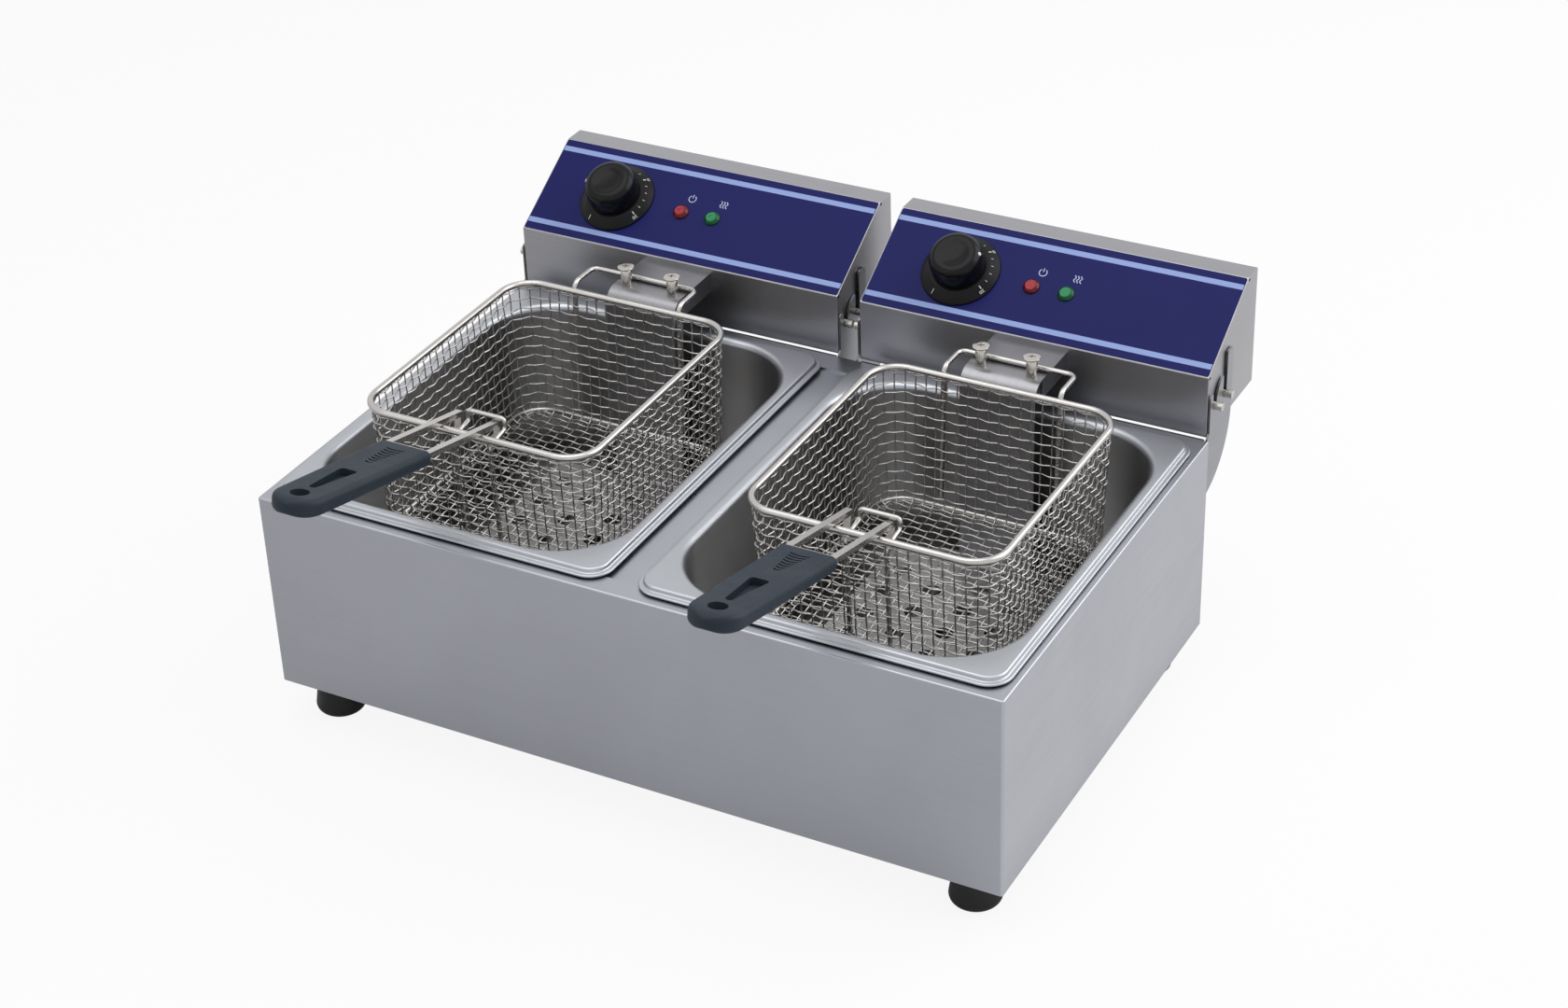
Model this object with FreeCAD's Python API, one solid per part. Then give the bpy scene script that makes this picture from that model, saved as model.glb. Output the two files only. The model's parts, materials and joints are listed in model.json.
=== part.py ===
"""Twin-tank countertop electric fryer, in millimetres.

X runs to the right, Y to the back and Z up. The origin lies on the counter, midway between the feet.
The two units are alike, so each piece of a unit is drawn once about x = 0 and moved to both sides.
"""
import FreeCAD, Part
import math
import os
from FreeCAD import Vector

# Sheet metal and clearances
SHEET = 1.5
HEAD_SHEET = 1.2
SEAT_GAP = 0.3
RUNNING_GAP = 0.05
OPENING_GAP = 2.0

# Tank, a half-size catering pan with a stepped flange
FLANGE_W = 265.0
FLANGE_L = 325.0
FLANGE_R = 17.0
FLANGE_RISE = 5.7
LIP_STEP = 4.0
FLANGE_EDGE_R = 2.5
LEDGE = 12.5
MOUTH_R = 55.0
MOUTH_EDGE_R = 1.0
TANK_DEPTH = 150.0
TANK_WALL = 1.2
TANK_FLOOR_R = 25.0

# Casing round the two tanks
STRIP_GAP = 21.0
SIDE_MARGIN = 4.5
FRONT_MARGIN = 7.5
REAR_MARGIN = 9.5
CASE_H = 152.0
CASE_EDGE_R = 2.0
SETBACK = 8.85
BOTTOM_FLANGE = 8.0
STRIP_TUCK = 8.0
STRIP_LEG = 20.0

# Feet
FOOT_H = 30.0
FOOT_TOP_R = 14.0
FOOT_BASE_R = 18.0
FOOT_EDGE_R = 6.0
FOOT_INSET_X = 30.0
FOOT_INSET_Y = 25.0
FOOT_SCREW_R = 2.5
FOOT_SCREW_HEAD_R = 5.0
FOOT_SCREW_HEAD_H = 3.0
FOOT_SCREW_SINK = 6.0
FOOT_SCREW_STICKOUT = 4.0

# Control head
HEAD_GAP = 18.0
HEAD_STANDOFF = 3.0
HEAD_LIFT = 1.0
HEAD_D = 89.0
HEAD_FRONT_H = 47.0
SLOPE_RUN = 72.0
SLOPE_ANGLE = 31.0
LABEL_T = 0.3
LABEL_EDGE = 0.8

# Pins of the head and the slotted bracket that carries them
PIN_R = 3.0
PIN_PITCH = 19.0
PIN_STICKOUT = 8.0
PIVOT_BACK = 27.5
PIVOT_UP = 22.0
BRACKET_T = 1.5
CHEEK_GAP = 0.6
FRONT_FINGER_H = 10.0
REAR_FINGER_H = 31.0
REAR_FINGER_W = 10.5
FINGER_R = 3.0
CHEEK_DROP = 67.0
BRACKET_DROP = 44.0

# Knob, dial and lamps on the slope
KNOB_X = -70.0
KNOB_UP = 41.5
DIAL_R = 29.5
DIAL_TOP_R = 22.0
DIAL_H = 7.0
KNOB_BASE_R = 20.0
KNOB_TOP_R = 18.0
KNOB_H = 18.0
KNOB_EDGE_R = 2.5
KNOB_DISH_R = 12.0
KNOB_DISH = 1.2
SPINDLE_R = 3.0
SPINDLE_GRIP = 11.0
SPINDLE_TAIL = 8.0
LAMP_XS = (-14.6, 12.1)
LAMP_UP = 41.0
LAMP_R = 5.0
LAMP_RIM_R = 6.2
LAMP_RIM_H = 1.5
LAMP_DOME = 2.0
LAMP_BODY = 14.0

# Element hood, hook posts and heating element
HOOD_W = 57.0
HOOD_UP = 43.0
HOOD_REACH = 56.0
HOOD_BEND_R = 13.0
SHIELD_LIFT = 30.0
HOOD_SIDE_H = 14.0
POST_X = 19.3
POST_BACK = 16.0
POST_R = 4.0
POST_H = 12.0
POST_SCREW_R = 2.5
POST_HEAD_R = 6.2
POST_HEAD_H = 3.0
ELEMENT_R = 4.0
ELEMENT_LEG_X = 14.0
ELEMENT_LEG_UP = 20.0
ELEMENT_DROP_BACK = 16.0
ELEMENT_LIFT = 23.0
ELEMENT_LOOP_X = 60.0
ELEMENT_INNER_X = 30.0
ELEMENT_REACH = 195.0
ELEMENT_BEND_R = 14.0
ELEMENT_TAIL = 14.0
GUARD_W = 160.0
GUARD_L = 200.0
GUARD_T = 1.2
GUARD_FLANGE = 14.0
GUARD_HOLE_R = 6.8
GUARD_PITCH_X = 31.0
GUARD_PITCH_Y = 30.0
GUARD_MARGIN = 12.0

# Parts inside and behind the head
THERMOSTAT_W = 42.0
THERMOSTAT_L = 36.0
THERMOSTAT_T = 24.0
CAPILLARY_R = 1.2
BULB_R = 3.0
BULB_L = 70.0
BULB_X = -6.0
CUTOUT_R = 9.0
CUTOUT_T = 12.0
CUTOUT_X = 40.0
TERMINAL_W = 60.0
TERMINAL_D = 22.0
TERMINAL_H = 18.0
TERMINAL_X = 90.0
TERMINAL_BACK = 40.0
GLAND_X = 95.0
GLAND_UP = 30.0
GLAND_R = 9.0
GLAND_THREAD_R = 7.0
GLAND_BORE_R = 4.5
GLAND_OUT = 12.0
GLAND_IN = 8.0

# Basket
RIM_W = 181.0
RIM_L = 208.0
RIM_WIRE_R = 2.5
BASKET_CORNER_R = 23.0
BASKET_H = 104.0
BASKET_TAPER = 4.5
BASKET_GAP = 4.5
LEFT_DRIFT = -9.0
RIGHT_DRIFT = 5.0
RING_WIRE_R = 1.75
MESH_WIRE = 1.6
MESH_PITCH = 13.0
CORNER_FACETS = 3
WELD_GAP = 0.15
WIRE_FOOT = 4.0
HOOK_WIRE_R = 2.0
HOOK_X = 44.0
HOOK_RISE = 4.3
HOOK_BEND_R = 6.0
BRIDGE_X = 14.5
BRIDGE_IN = 22.0
BRIDGE_DIP = 4.0
BRIDGE_BEND_R = 3.0

# Basket handle
HANDLE_X = -6.5
HANDLE_ANGLE = 13.5
ROD_X = 15.8
ROD_W = 5.0
ROD_T = 4.0
ROD_IN = 25.5
ROD_HOOK = 10.0
ROD_TIE = 3.0
ROD_FREE = 64.0
ROD_BURIED = 45.0
GRIP_L = 136.0
GRIP_W = 41.0
GRIP_END_W = 36.0
GRIP_T = 12.5
GRIP_COVER = 2.0
GRIP_EDGE_R = 4.5
HANG_HOLE_R = 6.5
HANG_HOLE_IN = 17.0
KEY_START = 31.5
KEY_LENGTH = 37.0
KEY_WIDE_R = 6.0
KEY_NARROW_R = 3.0
KEY_DEPTH = 5.0

# Screws of the casing and the brackets
SCREW_R = 2.0
SCREW_HEAD_R = 4.0
SCREW_HEAD_H = 2.2
SCREW_LENGTH = 8.0
BACK_SCREW_INSET = 30.0
BRACKET_SCREW_X = 90.0

# Places worked out from the sizes above
MOUTH_W = FLANGE_W - 2 * LEDGE
MOUTH_L = FLANGE_L - 2 * LEDGE
UNIT_X = (FLANGE_W + STRIP_GAP) / 2
CASE_W = 2 * UNIT_X + FLANGE_W + 2 * SIDE_MARGIN
CASE_D = FLANGE_L + FRONT_MARGIN + REAR_MARGIN
CASE_FRONT = -CASE_D / 2
CASE_BACK = CASE_D / 2
CASE_TOP = FOOT_H + CASE_H
TANK_Y = CASE_FRONT + FRONT_MARGIN + FLANGE_L / 2
LIP_Z = CASE_TOP + SEAT_GAP
FLANGE_TOP = LIP_Z + FLANGE_RISE
TANK_FLOOR = FLANGE_TOP - TANK_DEPTH + TANK_WALL
PAN_W = MOUTH_W + 2 * TANK_WALL
PAN_L = MOUTH_L + 2 * TANK_WALL
OPEN_X = UNIT_X + PAN_W / 2 + OPENING_GAP
OPEN_FRONT = TANK_Y - PAN_L / 2 - OPENING_GAP
OPEN_BACK = TANK_Y + PAN_L / 2 + OPENING_GAP
STRIP_HALF = UNIT_X - PAN_W / 2 - OPENING_GAP
FOOT_X = CASE_W / 2 - FOOT_INSET_X
FOOT_Y = CASE_D / 2 - FOOT_INSET_Y
BASE_Z = FOOT_H + SHEET

HEAD_W = 2 * UNIT_X - HEAD_GAP
HEAD_FRONT = CASE_BACK + HEAD_STANDOFF
HEAD_BACK = HEAD_FRONT + HEAD_D
HEAD_BOTTOM = CASE_TOP + HEAD_LIFT
SLOPE_Z = HEAD_BOTTOM + HEAD_FRONT_H
SLOPE_RISE = SLOPE_RUN * math.tan(math.radians(SLOPE_ANGLE))
SLOPE_L = SLOPE_RUN / math.cos(math.radians(SLOPE_ANGLE))
HEAD_TOP = SLOPE_Z + SLOPE_RISE
PIVOT_Y = HEAD_FRONT + PIVOT_BACK
PIVOT_Z = HEAD_BOTTOM + PIVOT_UP
SLOT_R = PIN_R + SEAT_GAP
CHEEK_IN = HEAD_W / 2 + CHEEK_GAP

HOOD_TOP = HEAD_BOTTOM + HOOD_UP
SHIELD_FRONT = HEAD_FRONT - HOOD_REACH
SHIELD_BOTTOM = TANK_FLOOR + SHIELD_LIFT
POST_Y = SHIELD_FRONT + POST_BACK
ELEMENT_Z = TANK_FLOOR + ELEMENT_LIFT
ELEMENT_LEG_Z = HEAD_BOTTOM + ELEMENT_LEG_UP
ELEMENT_BACK = SHIELD_FRONT + ELEMENT_DROP_BACK
GUARD_Z = ELEMENT_Z + ELEMENT_R

HOOK_Z = HOOD_TOP + SEAT_GAP + HOOK_WIRE_R
HOOK_Y = POST_Y + POST_HEAD_R + HOOK_WIRE_R + SEAT_GAP
RIM_Z = HOOK_Z - HOOK_RISE
RIM_BACK = SHIELD_FRONT - BASKET_GAP - RIM_WIRE_R
RIM_Y = RIM_BACK - RIM_L / 2
RIM_FRONT = RIM_BACK - RIM_L
RING_Z = RIM_Z - BASKET_H
MESH_TOP = RIM_Z - RIM_WIRE_R - WELD_GAP
MESH_BOTTOM = RING_Z + RING_WIRE_R + WELD_GAP
NET_TOP = RING_Z - RING_WIRE_R - WELD_GAP

ROD_BOTTOM = RIM_WIRE_R + SEAT_GAP
BRIDGE_UP = ROD_BOTTOM + ROD_T + SEAT_GAP + RING_WIRE_R
HANDLE_TURN = math.radians(HANDLE_ANGLE)
BRIDGE_Y = RIM_FRONT + BRIDGE_IN * math.cos(HANDLE_TURN) + BRIDGE_UP * math.sin(HANDLE_TURN)
BRIDGE_Z = RIM_Z - BRIDGE_IN * math.sin(HANDLE_TURN) + BRIDGE_UP * math.cos(HANDLE_TURN)

X_AXIS = Vector(1, 0, 0)
Y_AXIS = Vector(0, 1, 0)
Z_AXIS = Vector(0, 0, 1)


# Helpers

def box(x0, x1, y0, y1, z0, z1):
    """Box between two corners."""
    return Part.makeBox(x1 - x0, y1 - y0, z1 - z0, Vector(x0, y0, z0))


def rounded_wire(width, length, radius, y, z):
    """Closed rectangle with round corners, centred on x = 0."""
    x, h = width / 2, length / 2
    k = radius * (1 - math.sqrt(0.5))
    edges = []
    for turn in range(4):
        along, across = (h, x) if turn % 2 else (x, h)
        start = Vector(along - radius, -across, 0)
        corner = Vector(along - k, -across + k, 0)
        end = Vector(along, -across + radius, 0)
        side = Vector(-along + radius, -across, 0)
        spin = FreeCAD.Placement(Vector(0, y, z), FreeCAD.Rotation(Z_AXIS, 90 * turn))
        points = [spin.multVec(p) for p in (side, start, corner, end)]
        edges.append(Part.LineSegment(points[0], points[1]).toShape())
        edges.append(Part.Arc(points[1], points[2], points[3]).toShape())
    return Part.Wire(edges)


def rounded_prism(width, length, radius, y, z0, z1):
    """Upright prism on a rectangle with round corners."""
    return Part.Face(rounded_wire(width, length, radius, y, z0)).extrude(Vector(0, 0, z1 - z0))


def side_prism(points, x0, x1):
    """Prism along X on a closed outline of (y, z) points."""
    corners = [Vector(x0, y, z) for y, z in points]
    return Part.Face(Part.makePolygon(corners + corners[:1])).extrude(Vector(x1 - x0, 0, 0))


def edges_where(shape, test):
    """Edges whose every vertex passes the test."""
    return [e for e in shape.Edges if all(test(v.Point) for v in e.Vertexes)]


def bent_path(points, radius):
    """Straight runs through the points, joined by tangent arcs of one radius."""
    edges = []
    last = points[0]
    for before, here, after in zip(points, points[1:], points[2:]):
        u = (before - here).normalize()
        w = (after - here).normalize()
        half = u.getAngle(w) / 2
        reach = radius / math.tan(half)
        middle = (u + w).normalize() * (radius / math.sin(half) - radius)
        start, end = here + u * reach, here + w * reach
        edges.append(Part.LineSegment(last, start).toShape())
        edges.append(Part.Arc(start, here + middle, end).toShape())
        last = end
    edges.append(Part.LineSegment(last, points[-1]).toShape())
    return Part.Wire(edges)


def round_wire(points, wire_r, bend_r):
    """Bent round wire or tube along the points."""
    path = bent_path(points, bend_r)
    first = (points[1] - points[0]).normalize()
    section = Part.Wire(Part.Circle(points[0], first, wire_r).toShape())
    return path.makePipeShell([section], True, False)


def ring_wire(width, length, corner_r, wire_r, y, z):
    """Closed ring of round wire on a rectangle with round corners."""
    path = rounded_wire(width, length, corner_r, y, z)
    start = path.Edges[0].Vertexes[0].Point
    section = Part.Wire(Part.Circle(start, X_AXIS, wire_r).toShape())
    return path.makePipeShell([section], True, False)


def turned(profile, base, axis):
    """Solid turned from (radius, height) points about an axis through base."""
    corners = [Vector(r, 0, h) for r, h in profile]
    face = Part.Face(Part.makePolygon(corners + corners[:1]))
    solid = face.revolve(Vector(0, 0, 0), Z_AXIS, 360)
    solid.Placement = FreeCAD.Placement(base, FreeCAD.Rotation(Z_AXIS, axis))
    return solid


def screw(seat, axis, head_r, head_h, shank_r, shank_l):
    """Pan-head screw: the head sits on seat along axis, the shank goes the other way."""
    head = [(0, -shank_l), (shank_r, -shank_l), (shank_r, 0), (head_r, 0)]
    return turned(head + [(head_r, 0.5 * head_h), (0.6 * head_r, head_h), (0, head_h)], seat, axis)


# The frame of the slope: s runs up the slope, n stands out from it

SLOPE_TURN = math.radians(SLOPE_ANGLE)
SLOPE_UP = Vector(0, math.cos(SLOPE_TURN), math.sin(SLOPE_TURN))
SLOPE_OUT = Vector(0, -math.sin(SLOPE_TURN), math.cos(SLOPE_TURN))


def on_slope(x, up, out):
    """Point at x, a distance up the slope and a distance out from the cover's face."""
    return Vector(x, HEAD_FRONT, SLOPE_Z) + SLOPE_UP * up + SLOPE_OUT * out


def slope_cylinder(x, up, out, radius, height):
    """Cylinder standing on the slope."""
    return Part.makeCylinder(radius, height, on_slope(x, up, out), SLOPE_OUT)


# Casing

def casing_wrap():
    """Front and two sides folded from one sheet, with lips at the top and flanges at the bottom."""
    half = CASE_W / 2
    outer = box(-half, half, CASE_FRONT, CASE_BACK, FOOT_H, CASE_TOP)
    upright = edges_where(outer, lambda p: p.y < 0 and abs(p.x) == half)
    upright = [e for e in upright if abs(e.Vertexes[0].Z - e.Vertexes[1].Z) > 1]
    outer = outer.makeFillet(CASE_EDGE_R, upright)
    wall = half - SHEET
    inner = box(-wall, wall, CASE_FRONT + SHEET, CASE_BACK + 1, FOOT_H + SHEET, CASE_TOP - SHEET)
    mouth = box(-OPEN_X, OPEN_X, OPEN_FRONT, CASE_BACK + 1, CASE_TOP - 2 * SHEET, CASE_TOP + 1)
    inset = SHEET + BOTTOM_FLANGE
    edge = half - inset
    below = box(-edge, edge, CASE_FRONT + inset, CASE_BACK + 1, FOOT_H - 1, FOOT_H + 2 * SHEET)
    wrap = outer.cut(inner).cut(mouth).cut(below)
    top = edges_where(wrap, lambda p: p.z > CASE_TOP - 0.01)
    rim = [e for e in top if abs(e.CenterOfMass.x) > half - 3 or e.CenterOfMass.y < CASE_FRONT + 3]
    return wrap.makeFillet(SHEET * 0.9, rim)


def back_panel():
    """Flat rear wall between the side panels, drilled for its screws."""
    inside = CASE_W / 2 - SHEET
    panel = box(-inside, inside, CASE_BACK - SHEET, CASE_BACK, BASE_Z, CASE_TOP - SHEET)
    for seat in back_screw_seats() + bracket_screw_seats():
        panel = panel.cut(Part.makeCylinder(SCREW_R + RUNNING_GAP, 20, seat + Vector(0, -18, 0), Y_AXIS))
    return panel


def base_plate():
    """Floor of the casing, resting on the bottom flanges."""
    inside = CASE_W / 2 - SHEET
    plate = box(-inside, inside, CASE_FRONT + SHEET, CASE_BACK - SHEET, BASE_Z, BASE_Z + SHEET)
    for x, y in foot_places():
        plate = plate.cut(Part.makeCylinder(FOOT_SCREW_R + RUNNING_GAP, 20, Vector(x, y, BASE_Z - 10)))
    return plate


def rear_deck():
    """Strip of the top behind the tanks, resting on the back panel."""
    return box(-OPEN_X, OPEN_X, OPEN_BACK, CASE_BACK, CASE_TOP - SHEET, CASE_TOP)


def centre_strip():
    """Channel between the tanks, tucked under the front lip and the rear deck."""
    top = CASE_TOP - SHEET
    front, back = OPEN_FRONT - STRIP_TUCK, OPEN_BACK + STRIP_TUCK
    outer = box(-STRIP_HALF, STRIP_HALF, front, back, top - STRIP_LEG, top)
    wall = STRIP_HALF - SHEET
    inner = box(-wall, wall, front - 1, back + 1, top - STRIP_LEG - 1, top - SHEET)
    return outer.cut(inner)


def foot_places():
    """Centres of the four feet."""
    return [(sx * FOOT_X, sy * FOOT_Y) for sx in (-1, 1) for sy in (-1, 1)]


def feet():
    """Four rubber feet that flare downwards, each with a sunk hole for its screw."""
    k = FOOT_EDGE_R * (1 - math.sqrt(0.5))
    outline = [Part.LineSegment(Vector(0, 0, 0), Vector(FOOT_BASE_R - FOOT_EDGE_R, 0, 0)).toShape(),
               Part.Arc(Vector(FOOT_BASE_R - FOOT_EDGE_R, 0, 0), Vector(FOOT_BASE_R - k, 0, k),
                        Vector(FOOT_BASE_R, 0, FOOT_EDGE_R)).toShape(),
               Part.LineSegment(Vector(FOOT_BASE_R, 0, FOOT_EDGE_R), Vector(FOOT_TOP_R, 0, BASE_Z)).toShape(),
               Part.LineSegment(Vector(FOOT_TOP_R, 0, BASE_Z), Vector(0, 0, BASE_Z)).toShape(),
               Part.LineSegment(Vector(0, 0, BASE_Z), Vector(0, 0, 0)).toShape()]
    foot = Part.Face(Part.Wire(outline)).revolve(Vector(0, 0, 0), Z_AXIS, 360)
    sink_r = FOOT_SCREW_HEAD_R + SEAT_GAP
    foot = foot.cut(Part.makeCylinder(sink_r, FOOT_SCREW_SINK + FOOT_SCREW_HEAD_H, Vector(0, 0, 0)))
    foot = foot.cut(Part.makeCylinder(FOOT_SCREW_R + RUNNING_GAP, BASE_Z, Vector(0, 0, 0)))
    return Part.makeCompound([foot.translated(Vector(x, y, 0)) for x, y in foot_places()])


def foot_screws():
    """Screws up through the feet into the base plate."""
    seat = FOOT_SCREW_SINK + FOOT_SCREW_HEAD_H
    shank = BASE_Z + SHEET + FOOT_SCREW_STICKOUT - seat
    down = Vector(0, 0, -1)
    return Part.makeCompound([screw(Vector(x, y, seat), down, FOOT_SCREW_HEAD_R, FOOT_SCREW_HEAD_H,
                                    FOOT_SCREW_R, shank) for x, y in foot_places()])


def back_screw_seats():
    """Corners of the back panel where its screws sit."""
    x = CASE_W / 2 - SHEET - BACK_SCREW_INSET
    low = BASE_Z + BACK_SCREW_INSET
    return [Vector(sx * x, CASE_BACK, low) for sx in (-1, 0, 1)]


def bracket_screw_seats():
    """Back of each bracket flange where its screws sit, as points on the casing's back."""
    z = CASE_TOP - SHEET - BRACKET_DROP / 2
    return [Vector(sx * UNIT_X + bx * BRACKET_SCREW_X, CASE_BACK, z) for sx in (-1, 1) for bx in (-1, 0, 1)]


def casing_screws():
    """Screws of the back panel and of the two head brackets."""
    solids = [screw(p, Y_AXIS, SCREW_HEAD_R, SCREW_HEAD_H, SCREW_R, SCREW_LENGTH) for p in back_screw_seats()]
    outer = Vector(0, BRACKET_T, 0)
    solids += [screw(p + outer, Y_AXIS, SCREW_HEAD_R, SCREW_HEAD_H, SCREW_R, SCREW_LENGTH)
               for p in bracket_screw_seats()]
    return Part.makeCompound(solids)


# Bracket that carries a head

def cheek_outline():
    """Side cheek: a low front finger, a middle finger curved about the pivot and a tall rear finger."""
    py, pz = PIVOT_Y, PIVOT_Z
    front_pin = py - PIN_PITCH
    arc_r = PIN_PITCH - SLOT_R
    stop = py + SLOT_R
    front, lip, rear = CASE_BACK, HEAD_FRONT, stop + REAR_FINGER_W
    low = pz - CHEEK_DROP
    f_top, r_top = pz + FRONT_FINGER_H, pz + REAR_FINGER_H
    mid_y = py - SLOT_R
    mid_top = pz + math.sqrt(arc_r ** 2 - SLOT_R ** 2)
    k = FINGER_R * (1 - math.sqrt(0.5))
    bend = arc_r * math.sqrt(0.5)
    curve_start = Vector(0, rear, pz - CHEEK_DROP * 0.25)
    curve_end = Vector(0, front, low)
    curve_mid = Vector(0, front + 0.72 * (rear - front), low + 0.27 * CHEEK_DROP)

    def p(y, z):
        return Vector(0, y, z)

    def line(a, b):
        return Part.LineSegment(a, b).toShape()

    def arc(a, m, b):
        return Part.Arc(a, m, b).toShape()

    return Part.Wire([
        line(curve_end, p(front, HEAD_BOTTOM)),
        line(p(front, HEAD_BOTTOM), p(lip, HEAD_BOTTOM + HEAD_STANDOFF)),
        line(p(lip, HEAD_BOTTOM + HEAD_STANDOFF), p(lip, f_top - FINGER_R)),
        arc(p(lip, f_top - FINGER_R), p(lip + k, f_top - k), p(lip + FINGER_R, f_top)),
        line(p(lip + FINGER_R, f_top), p(front_pin - SLOT_R, f_top)),
        line(p(front_pin - SLOT_R, f_top), p(front_pin - SLOT_R, pz)),
        arc(p(front_pin - SLOT_R, pz), p(front_pin, pz - SLOT_R), p(front_pin + SLOT_R, pz)),
        arc(p(front_pin + SLOT_R, pz), p(py - bend, pz + bend), p(mid_y, mid_top)),
        line(p(mid_y, mid_top), p(mid_y, pz)),
        arc(p(mid_y, pz), p(py, pz - SLOT_R), p(stop, pz)),
        line(p(stop, pz), p(stop, r_top - FINGER_R)),
        arc(p(stop, r_top - FINGER_R), p(stop + k, r_top - k), p(stop + FINGER_R, r_top)),
        line(p(stop + FINGER_R, r_top), p(rear - FINGER_R, r_top)),
        arc(p(rear - FINGER_R, r_top), p(rear - k, r_top - k), p(rear, r_top - FINGER_R)),
        line(p(rear, r_top - FINGER_R), curve_start),
        arc(curve_start, curve_mid, curve_end)])


def head_bracket():
    """Bracket screwed to the casing's back, with a slotted cheek at each end."""
    cheek = Part.Face(cheek_outline()).extrude(Vector(BRACKET_T, 0, 0))
    right = cheek.translated(Vector(CHEEK_IN, 0, 0))
    left = cheek.translated(Vector(-CHEEK_IN - BRACKET_T, 0, 0))
    top = CASE_TOP - SHEET
    flange = box(-CHEEK_IN, CHEEK_IN, CASE_BACK, CASE_BACK + BRACKET_T, top - BRACKET_DROP, top)
    for bx in (-1, 0, 1):
        hole = Vector(bx * BRACKET_SCREW_X, CASE_BACK - 1, top - BRACKET_DROP / 2)
        flange = flange.cut(Part.makeCylinder(SCREW_R + RUNNING_GAP, 10, hole, Y_AXIS))
    return flange.fuse([left, right]).removeSplitter()


# Tank

def tank():
    """Deep drawn pan with a stepped flange that rests on the casing's lips."""
    floor = FLANGE_TOP - TANK_DEPTH
    pan = rounded_prism(PAN_W, PAN_L, MOUTH_R + TANK_WALL, TANK_Y, floor, FLANGE_TOP)
    pan = pan.makeFillet(TANK_FLOOR_R, edges_where(pan, lambda p: p.z < floor + 0.01))
    step_w, step_l, step_r = FLANGE_W - 2 * LIP_STEP, FLANGE_L - 2 * LIP_STEP, FLANGE_R - LIP_STEP
    step = rounded_prism(step_w, step_l, step_r, TANK_Y, LIP_Z, FLANGE_TOP)
    step = step.makeFillet(FLANGE_EDGE_R, edges_where(step, lambda p: p.z > FLANGE_TOP - 0.01))
    lip = rounded_prism(FLANGE_W, FLANGE_L, FLANGE_R, TANK_Y, LIP_Z, LIP_Z + TANK_WALL)
    hollow_w, hollow_l = step_w - 2 * TANK_WALL, step_l - 2 * TANK_WALL
    under = rounded_prism(hollow_w, hollow_l, step_r - TANK_WALL, TANK_Y, LIP_Z, FLANGE_TOP - TANK_WALL)
    under = under.cut(rounded_prism(PAN_W, PAN_L, MOUTH_R + TANK_WALL, TANK_Y, LIP_Z, FLANGE_TOP))
    cavity = rounded_prism(MOUTH_W, MOUTH_L, MOUTH_R, TANK_Y, TANK_FLOOR, FLANGE_TOP + TANK_DEPTH)
    low_edges = edges_where(cavity, lambda p: p.z < TANK_FLOOR + 0.01)
    cavity = cavity.makeFillet(TANK_FLOOR_R - TANK_WALL, low_edges)
    solid = pan.fuse([step, lip]).cut(under).cut(cavity).removeSplitter()

    def at_mouth(p):
        within = abs(p.x) < MOUTH_W / 2 + 0.01 and abs(p.y - TANK_Y) < MOUTH_L / 2 + 0.01
        return within and p.z > FLANGE_TOP - 0.01

    return solid.makeFillet(MOUTH_EDGE_R, edges_where(solid, at_mouth))


# Head shell

def head_outline(inset):
    """Outline of the head in (y, z), drawn in by an even inset."""
    t = SLOPE_TURN
    low_turn = inset * math.tan((math.pi / 2 - t) / 2)
    high_turn = inset * math.tan(t / 2)
    return [(HEAD_FRONT + inset, HEAD_BOTTOM + inset),
            (HEAD_FRONT + inset, SLOPE_Z - low_turn),
            (HEAD_FRONT + SLOPE_RUN + high_turn, HEAD_TOP - inset),
            (HEAD_BACK - inset, HEAD_TOP - inset),
            (HEAD_BACK - inset, HEAD_BOTTOM + inset)]


def head_core(inset):
    """Space inside the head's sheets, between its side panels."""
    half = HEAD_W / 2 - HEAD_SHEET
    return side_prism(head_outline(inset), -half, half)


def rear_shell():
    """Back and bottom sheets of the head, as one folded plate."""
    half = HEAD_W / 2 - HEAD_SHEET
    back = box(-half, half, HEAD_BACK - HEAD_SHEET, HEAD_BACK, HEAD_BOTTOM, HEAD_TOP)
    bottom = box(-half, half, HEAD_FRONT + HEAD_SHEET, HEAD_BACK, HEAD_BOTTOM, HEAD_BOTTOM + HEAD_SHEET)
    return back.fuse(bottom).removeSplitter()


def head_cover():
    """Front, slope and top folded from one sheet, pierced for the spindle, lamps, element and bulb."""
    shell = head_core(0).cut(head_core(HEAD_SHEET)).cut(rear_shell())
    shell = shell.cut(slope_cylinder(KNOB_X, KNOB_UP, -5, SPINDLE_R + 1, 10))
    for x in LAMP_XS:
        shell = shell.cut(slope_cylinder(x, LAMP_UP, -5, LAMP_R + RUNNING_GAP, 10))
    for x in (-ELEMENT_LEG_X, ELEMENT_LEG_X):
        hole = Vector(x, HEAD_FRONT - 5, ELEMENT_LEG_Z)
        shell = shell.cut(Part.makeCylinder(ELEMENT_R + RUNNING_GAP, 10, hole, Y_AXIS))
    bulb_hole = Vector(BULB_X, HEAD_FRONT - 5, ELEMENT_LEG_Z)
    return shell.cut(Part.makeCylinder(CAPILLARY_R + RUNNING_GAP, 10, bulb_hole, Y_AXIS))


def head_side_panels():
    """Flat end panels of the head."""
    half = HEAD_W / 2
    left = side_prism(head_outline(0), -half, -half + HEAD_SHEET)
    right = side_prism(head_outline(0), half - HEAD_SHEET, half)
    return Part.makeCompound([left, right])


def head_back_cover():
    """Rear shell with the hole of the cable gland."""
    hole = Vector(GLAND_X, HEAD_BACK - 10, HEAD_BOTTOM + GLAND_UP)
    return rear_shell().cut(Part.makeCylinder(GLAND_THREAD_R + RUNNING_GAP, 20, hole, Y_AXIS))


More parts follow.
